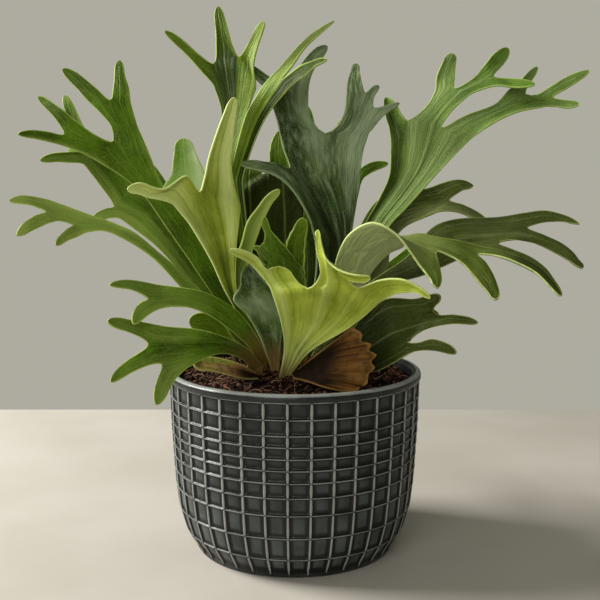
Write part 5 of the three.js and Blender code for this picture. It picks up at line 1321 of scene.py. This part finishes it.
# The silver fronds. A felt of fine pale hairs lies over their dark grey-green blade, thick in streaks.
# Their pale ridges and patches are partly painted sheen, and painted shade darkens their foot and hides
# the hairs there.
silver_top = leaf_finish("silver frond, upper side", "1e2e06", "466024", "8a9c6c", "a0b28c", "18240a",
                         fuzz=0.25, streaks=0.5, quilt=0.8, dark="121c02")
silver_under = leaf_finish("silver frond, underside", "64784a", "8a9a6c", "b4c0a4", "94a280",
                           fuzz=0.4, roughness=0.6)
SILVER = {
    "frond_centre_silver": {
        "cup": 0.1,
        "ridges": [(0.28, 0.02, 0.6, 0.15), (0.5, 0.015, 0.8, 0.3), (0.66, 0.02, 0.6, 0.1),
            (0.83, 0.015, 0.5, 0.15)],
        "sheen": [(0, 0.5), (0.04, 0.5), (0.1, 0.1), (0.3, 0.25), (0.5, -0.3), (0.65, 0.45), (0.7, 0.5),
            (0.8, 0.1), (0.88, 0.7), (0.93, 0.9), (1, 0.6)],
        "shade": [(0, -1), (0.3, -1.1), (0.42, -1), (0.52, -0.5), (0.6, -0.05), (0.75, 0), (1, 0.05)],
        "straps": [
            (0, [(-2, 115.5, 5.5, 115.5, 2, 2), (7.5, 140.5, 20, 141.5, 0, 2),
             (12.5, 170, 31, 167.5, -4, 4), (13.5, 192, 35.5, 196, -10, 6)], [(10.5, 210, -14),
             (-3.5, 244, -6), (40.5, 230, 8)]),
            (1, [(-3, 232, -12.5, 247, -16, -10), (-15.5, 240, -20, 247.5, -20, -16)], (-34, 246, -20)),
            (1, [(-7.5, 256.5, 43, 254, 0, 10)], [(-10, 268, 6), (19.5, 265.5, 10), (46.5, 265, 14)]),
            (2, [(-11, 273.5, 13.5, 270, 8, 11), (-13.5, 281, 9, 278.5, 10, 12)], [(-17.5, 291, 12),
             (-5.5, 296, 14), (8.5, 291, 16)]),
            (3, [(-24, 298.5, -17.5, 301.5, 16, 18)], (-29, 307, 20)),
            (3, [(2, 305.5, 11, 302.5, 19, 19), (8.5, 314, 16, 310, 22, 22)], (20, 318.5, 26)),
            (2, [(27, 270, 48.5, 268, 9, 14), (31.5, 280, 52.5, 273, 10, 16)], [(32, 288, 12),
             (44, 290.5, 14), (49.5, 281.5, 16), (58, 278, 18)]),
            (3, [(33, 298.5, 41.5, 298.5, 18, 18), (35, 304.5, 40.5, 304.5, 24, 24)], (38, 308, 26)),
            (3, [(47, 292.5, 50, 288.5, 18, 18)], (52.5, 294.5, 24)),
            (3, [(56, 282.5, 60.5, 280, 20, 20)], (65.5, 284, 24)),
        ],
    },
    "frond_young_silver": {
        "cup": 0.12,
        "ridges": [(0.3, 0.03, 1, 0.4), (0.5, 0.03, -1, -0.2), (0.7, 0.03, 1, 0.5)],
        "shade": [(0, -1.1), (0.35, -0.25), (0.54, 0.35), (0.65, 0.3), (0.8, -0.2), (1, 0.1)],
        "straps": [
            (0, [(-15.5, 114, -10, 114.5, -28, -28), (-21, 133, -9, 132.5, -30, -28),
             (-30.5, 149.5, -8, 148, -32, -28), (-39.5, 160.5, -12, 165, -32, -28),
             (-34.5, 170, -21, 174, -30, -26)], (-30.5, 182, -28)),
        ],
    },
}
for name, frond in SILVER.items():
    add_frond(name, frond, [silver_top, silver_under], ridge=0.25)

# The small upright frond behind the young one at the left. It is mid green, with a bluish white bloom
# towards its right margin, which is partly a painted highlight.
bloom_top = leaf_finish("frond with a white bloom", "5c861a", "7ea432", "b8cc88", "c4d2b0")
PALE_SMALL = {
    "frond_small_silver": {
        "cup": 0.12,
        "ridges": [(0.5, 0.05, 0.7, 0.1)],
        "sheen": [(0, 0), (0.5, 0.1), (1, 0.8)],
        "shade": [(0, 0), (0.6, 0.3), (0.85, 0.1), (1, -0.2)],
        "straps": [
            (0, [(-18.5, 120, -14.5, 121.5, -5, -5), (-35, 152, -30, 154.5, -8, -8),
             (-48.5, 182, -42, 184.5, -9, -9), (-61, 210, -51.5, 213, -9, -9),
             (-83.5, 229.5, -56, 234, -8, -8), (-78, 240, -57.5, 241.5, -8, -8),
             (-77, 249, -60.5, 249, -8, -8), (-76, 255.5, -63, 255.5, -6, -6)], (-69.5, 262, -4)),
        ],
    },
}
for name, frond in PALE_SMALL.items():
    add_frond(name, frond, [bloom_top, bloom_top], ridge=0.25)

# The shield fronds. They are dead, brown and papery, ribbed from the root to a scalloped margin, and
# they lie against the crown and the soil, which they hold together. The left one is still half green.
SHIELD_RIBS = (2.5, 0.05, 0)
SPOT_SCALE = 260
SPOT_SHARE = 0.4


def paper_finish(name, deep, bright, margin, pale_and_sheen):
    """Dry brown skin with dark spots and ribs, painted lighter and darker after its light attribute as
    painted light and shade.
    """
    skin = Finish(name, 0.8, specular=0.1)
    place = skin.attribute("leaf", "Vector")
    edge = skin.node("SeparateXYZ", Vector=place).outputs["Z"]
    ribs = skin.noise(skin.stretched(place, SHIELD_RIBS), detail=4)
    spots = skin.noise(skin.place(), SPOT_SCALE, 5)
    light = skin.attribute("light")
    base = skin.mix(skin.band(ribs, 0.35, 0.65), deep, bright)
    # Painted light and shade: the skin is painted towards the lighter colour where the light attribute is
    # above nought, and towards a near black where it is below, as painted shade.
    base = skin.mix(light, base, pale_and_sheen)
    base = skin.mix(skin.times(light, -1.0), base, "1a0f05")
    base = skin.mix(skin.band(spots, 0.5, 0.62, 0, SPOT_SHARE), base, "2c1c0a")
    skin.colour(skin.mix(skin.band(edge, 0.2, 1.6, 0.7, 0), base, margin))
    skin.bump(skin.math("ADD", ribs, spots), 0.0006, 0.8)
    return skin.material


dry_face = paper_finish("dry shield frond", "38220a", "68461c", "9c7640", "94703a")
# The left shield's lighter colour is its own green, which its stops lay along its upper edge.
fading_face = paper_finish("fading shield frond", "6a4828", "a07c54", "a8a058", "868c3e")
# A scalloped margin is given as a fork is, by its crests and notches, but no strap grows from it.
BROWN = {
    "shield_front": {
        "cup": -0.08,
        "sheen": [(0, 0.1), (0.14, -0.3), (0.3, 0), (0.6, -0.1), (0.75, -0.3), (0.9, 0.05), (1, 0)],
        "shade": [(0, -1.2), (0.5, -1.1), (0.72, -0.7), (0.85, 0.1), (1, 0.4)],
        "straps": [
            (0, [(-2.5, 108.5, 1, 112.5, -42, -41), (8.5, 106, 12.5, 122, -51, -45),
             (21, 102, 25.5, 132.5, -58, -49)], [(34, 99.5, -62), (40.5, 100, -64), (43, 103, -62),
             (47, 105, -65), (48, 111.5, -62), (52, 115.5, -64), (49.5, 119.5, -61), (53, 124, -63),
             (48, 127, -60), (49.5, 131, -61), (43, 133, -57), (43.5, 137.5, -58), (37, 142.5, -53)]),
        ],
    },
    "shield_left": {
        "cup": -0.15,
        "sheen": [(0, 0.1), (0.6, 0), (0.85, 1), (1, 1)],
        "shade": [(0, -1.3), (0.35, -0.9), (0.5, 0.05), (0.75, 0.4), (1, 0.3)],
        "straps": [
            (0, [(-22.5, 107.5, -24.5, 110.5, -40, -38), (-33.5, 108, -35.5, 117.5, -49, -45),
             (-47, 111.5, -50.5, 122, -54, -48), (-56.5, 113.5, -59.5, 122.5, -56, -50)],
             (-65.5, 118, -56)),
        ],
    },
    "shield_back": {
        "cup": -0.1,
        "straps": [
            (0, [(-11, 120.5, -5.5, 122, 40, 42), (-24, 126, -13.5, 134, 52, 58)], [(-30, 127, 60),
             (-33, 130.5, 62), (-31.5, 134, 64), (-34, 137, 66), (-31, 139.5, 68), (-28, 143, 70),
             (-24.5, 143, 72), (-21, 145.5, 73), (-17, 143, 73)]),
        ],
    },
}
for name, frond in BROWN.items():
    face = fading_face if name == "shield_left" else dry_face
    add_frond(name, frond, [face, face], ridge=0.3, wave=1.4, veins_per_lobe=9)

# The studio. A plain pale floor lies under the plant, two soft lights stand at its left and in front,
# and a pale backdrop is seen as it is and lights the plant more softly.
FLOOR_SIZE = 4
FLOOR_END = 0.356
PLANT_MIDDLE = Vector((0, 0, 0.18))
DAYLIGHT = (1, 0.98, 0.95)

floor_maker = bmesh.new()
bmesh.ops.create_grid(floor_maker, x_segments=1, y_segments=1, size=FLOOR_SIZE,
                      matrix=Matrix.Translation((0, FLOOR_END - FLOOR_SIZE, 0)))
floor = bpy.data.objects.new("floor", bpy.data.meshes.new("floor"))
floor_maker.to_mesh(floor.data)
floor_maker.free()
bpy.context.collection.objects.link(floor)
stone = Finish("pale floor", 0.6)
stone.colour(stone.mix(stone.band(stone.noise(stone.place(), 9, 6), 0.3, 0.7), "b5b0a5", "beb9af"))
floor.data.materials.append(stone.material)


def soft_light(name, place, size, power):
    """A square soft light that is turned to the plant."""
    light = bpy.data.objects.new(name, bpy.data.lights.new(name, "AREA"))
    light.data.size = size
    light.data.energy = power
    light.data.color = DAYLIGHT
    light.location = place
    light.rotation_euler = (PLANT_MIDDLE - Vector(place)).to_track_quat("-Z", "Y").to_euler()
    bpy.context.collection.objects.link(light)


soft_light("window", (-1.35, 0.25, 1.1), 0.7, 50)
soft_light("fill", (-0.5, -1.7, 0.9), 1.2, 12)

world = bpy.data.worlds.new("studio")
world.use_nodes = True
sky = world.node_tree.nodes
backdrop = sky["Background"]
backdrop.inputs["Color"].default_value = rgb("aeaca0")
glow = sky.new("ShaderNodeBackground")
glow.inputs["Color"].default_value = rgb("b9b8ab")
glow.inputs["Strength"].default_value = 0.45
seen = sky.new("ShaderNodeLightPath")
either = sky.new("ShaderNodeMixShader")
world.node_tree.links.new(seen.outputs["Is Camera Ray"], either.inputs["Fac"])
world.node_tree.links.new(glow.outputs[0], either.inputs[1])
world.node_tree.links.new(backdrop.outputs[0], either.inputs[2])
world.node_tree.links.new(either.outputs[0], sky["World Output"].inputs["Surface"])
bpy.context.scene.world = world
bpy.context.scene.view_settings.view_transform = "Standard"
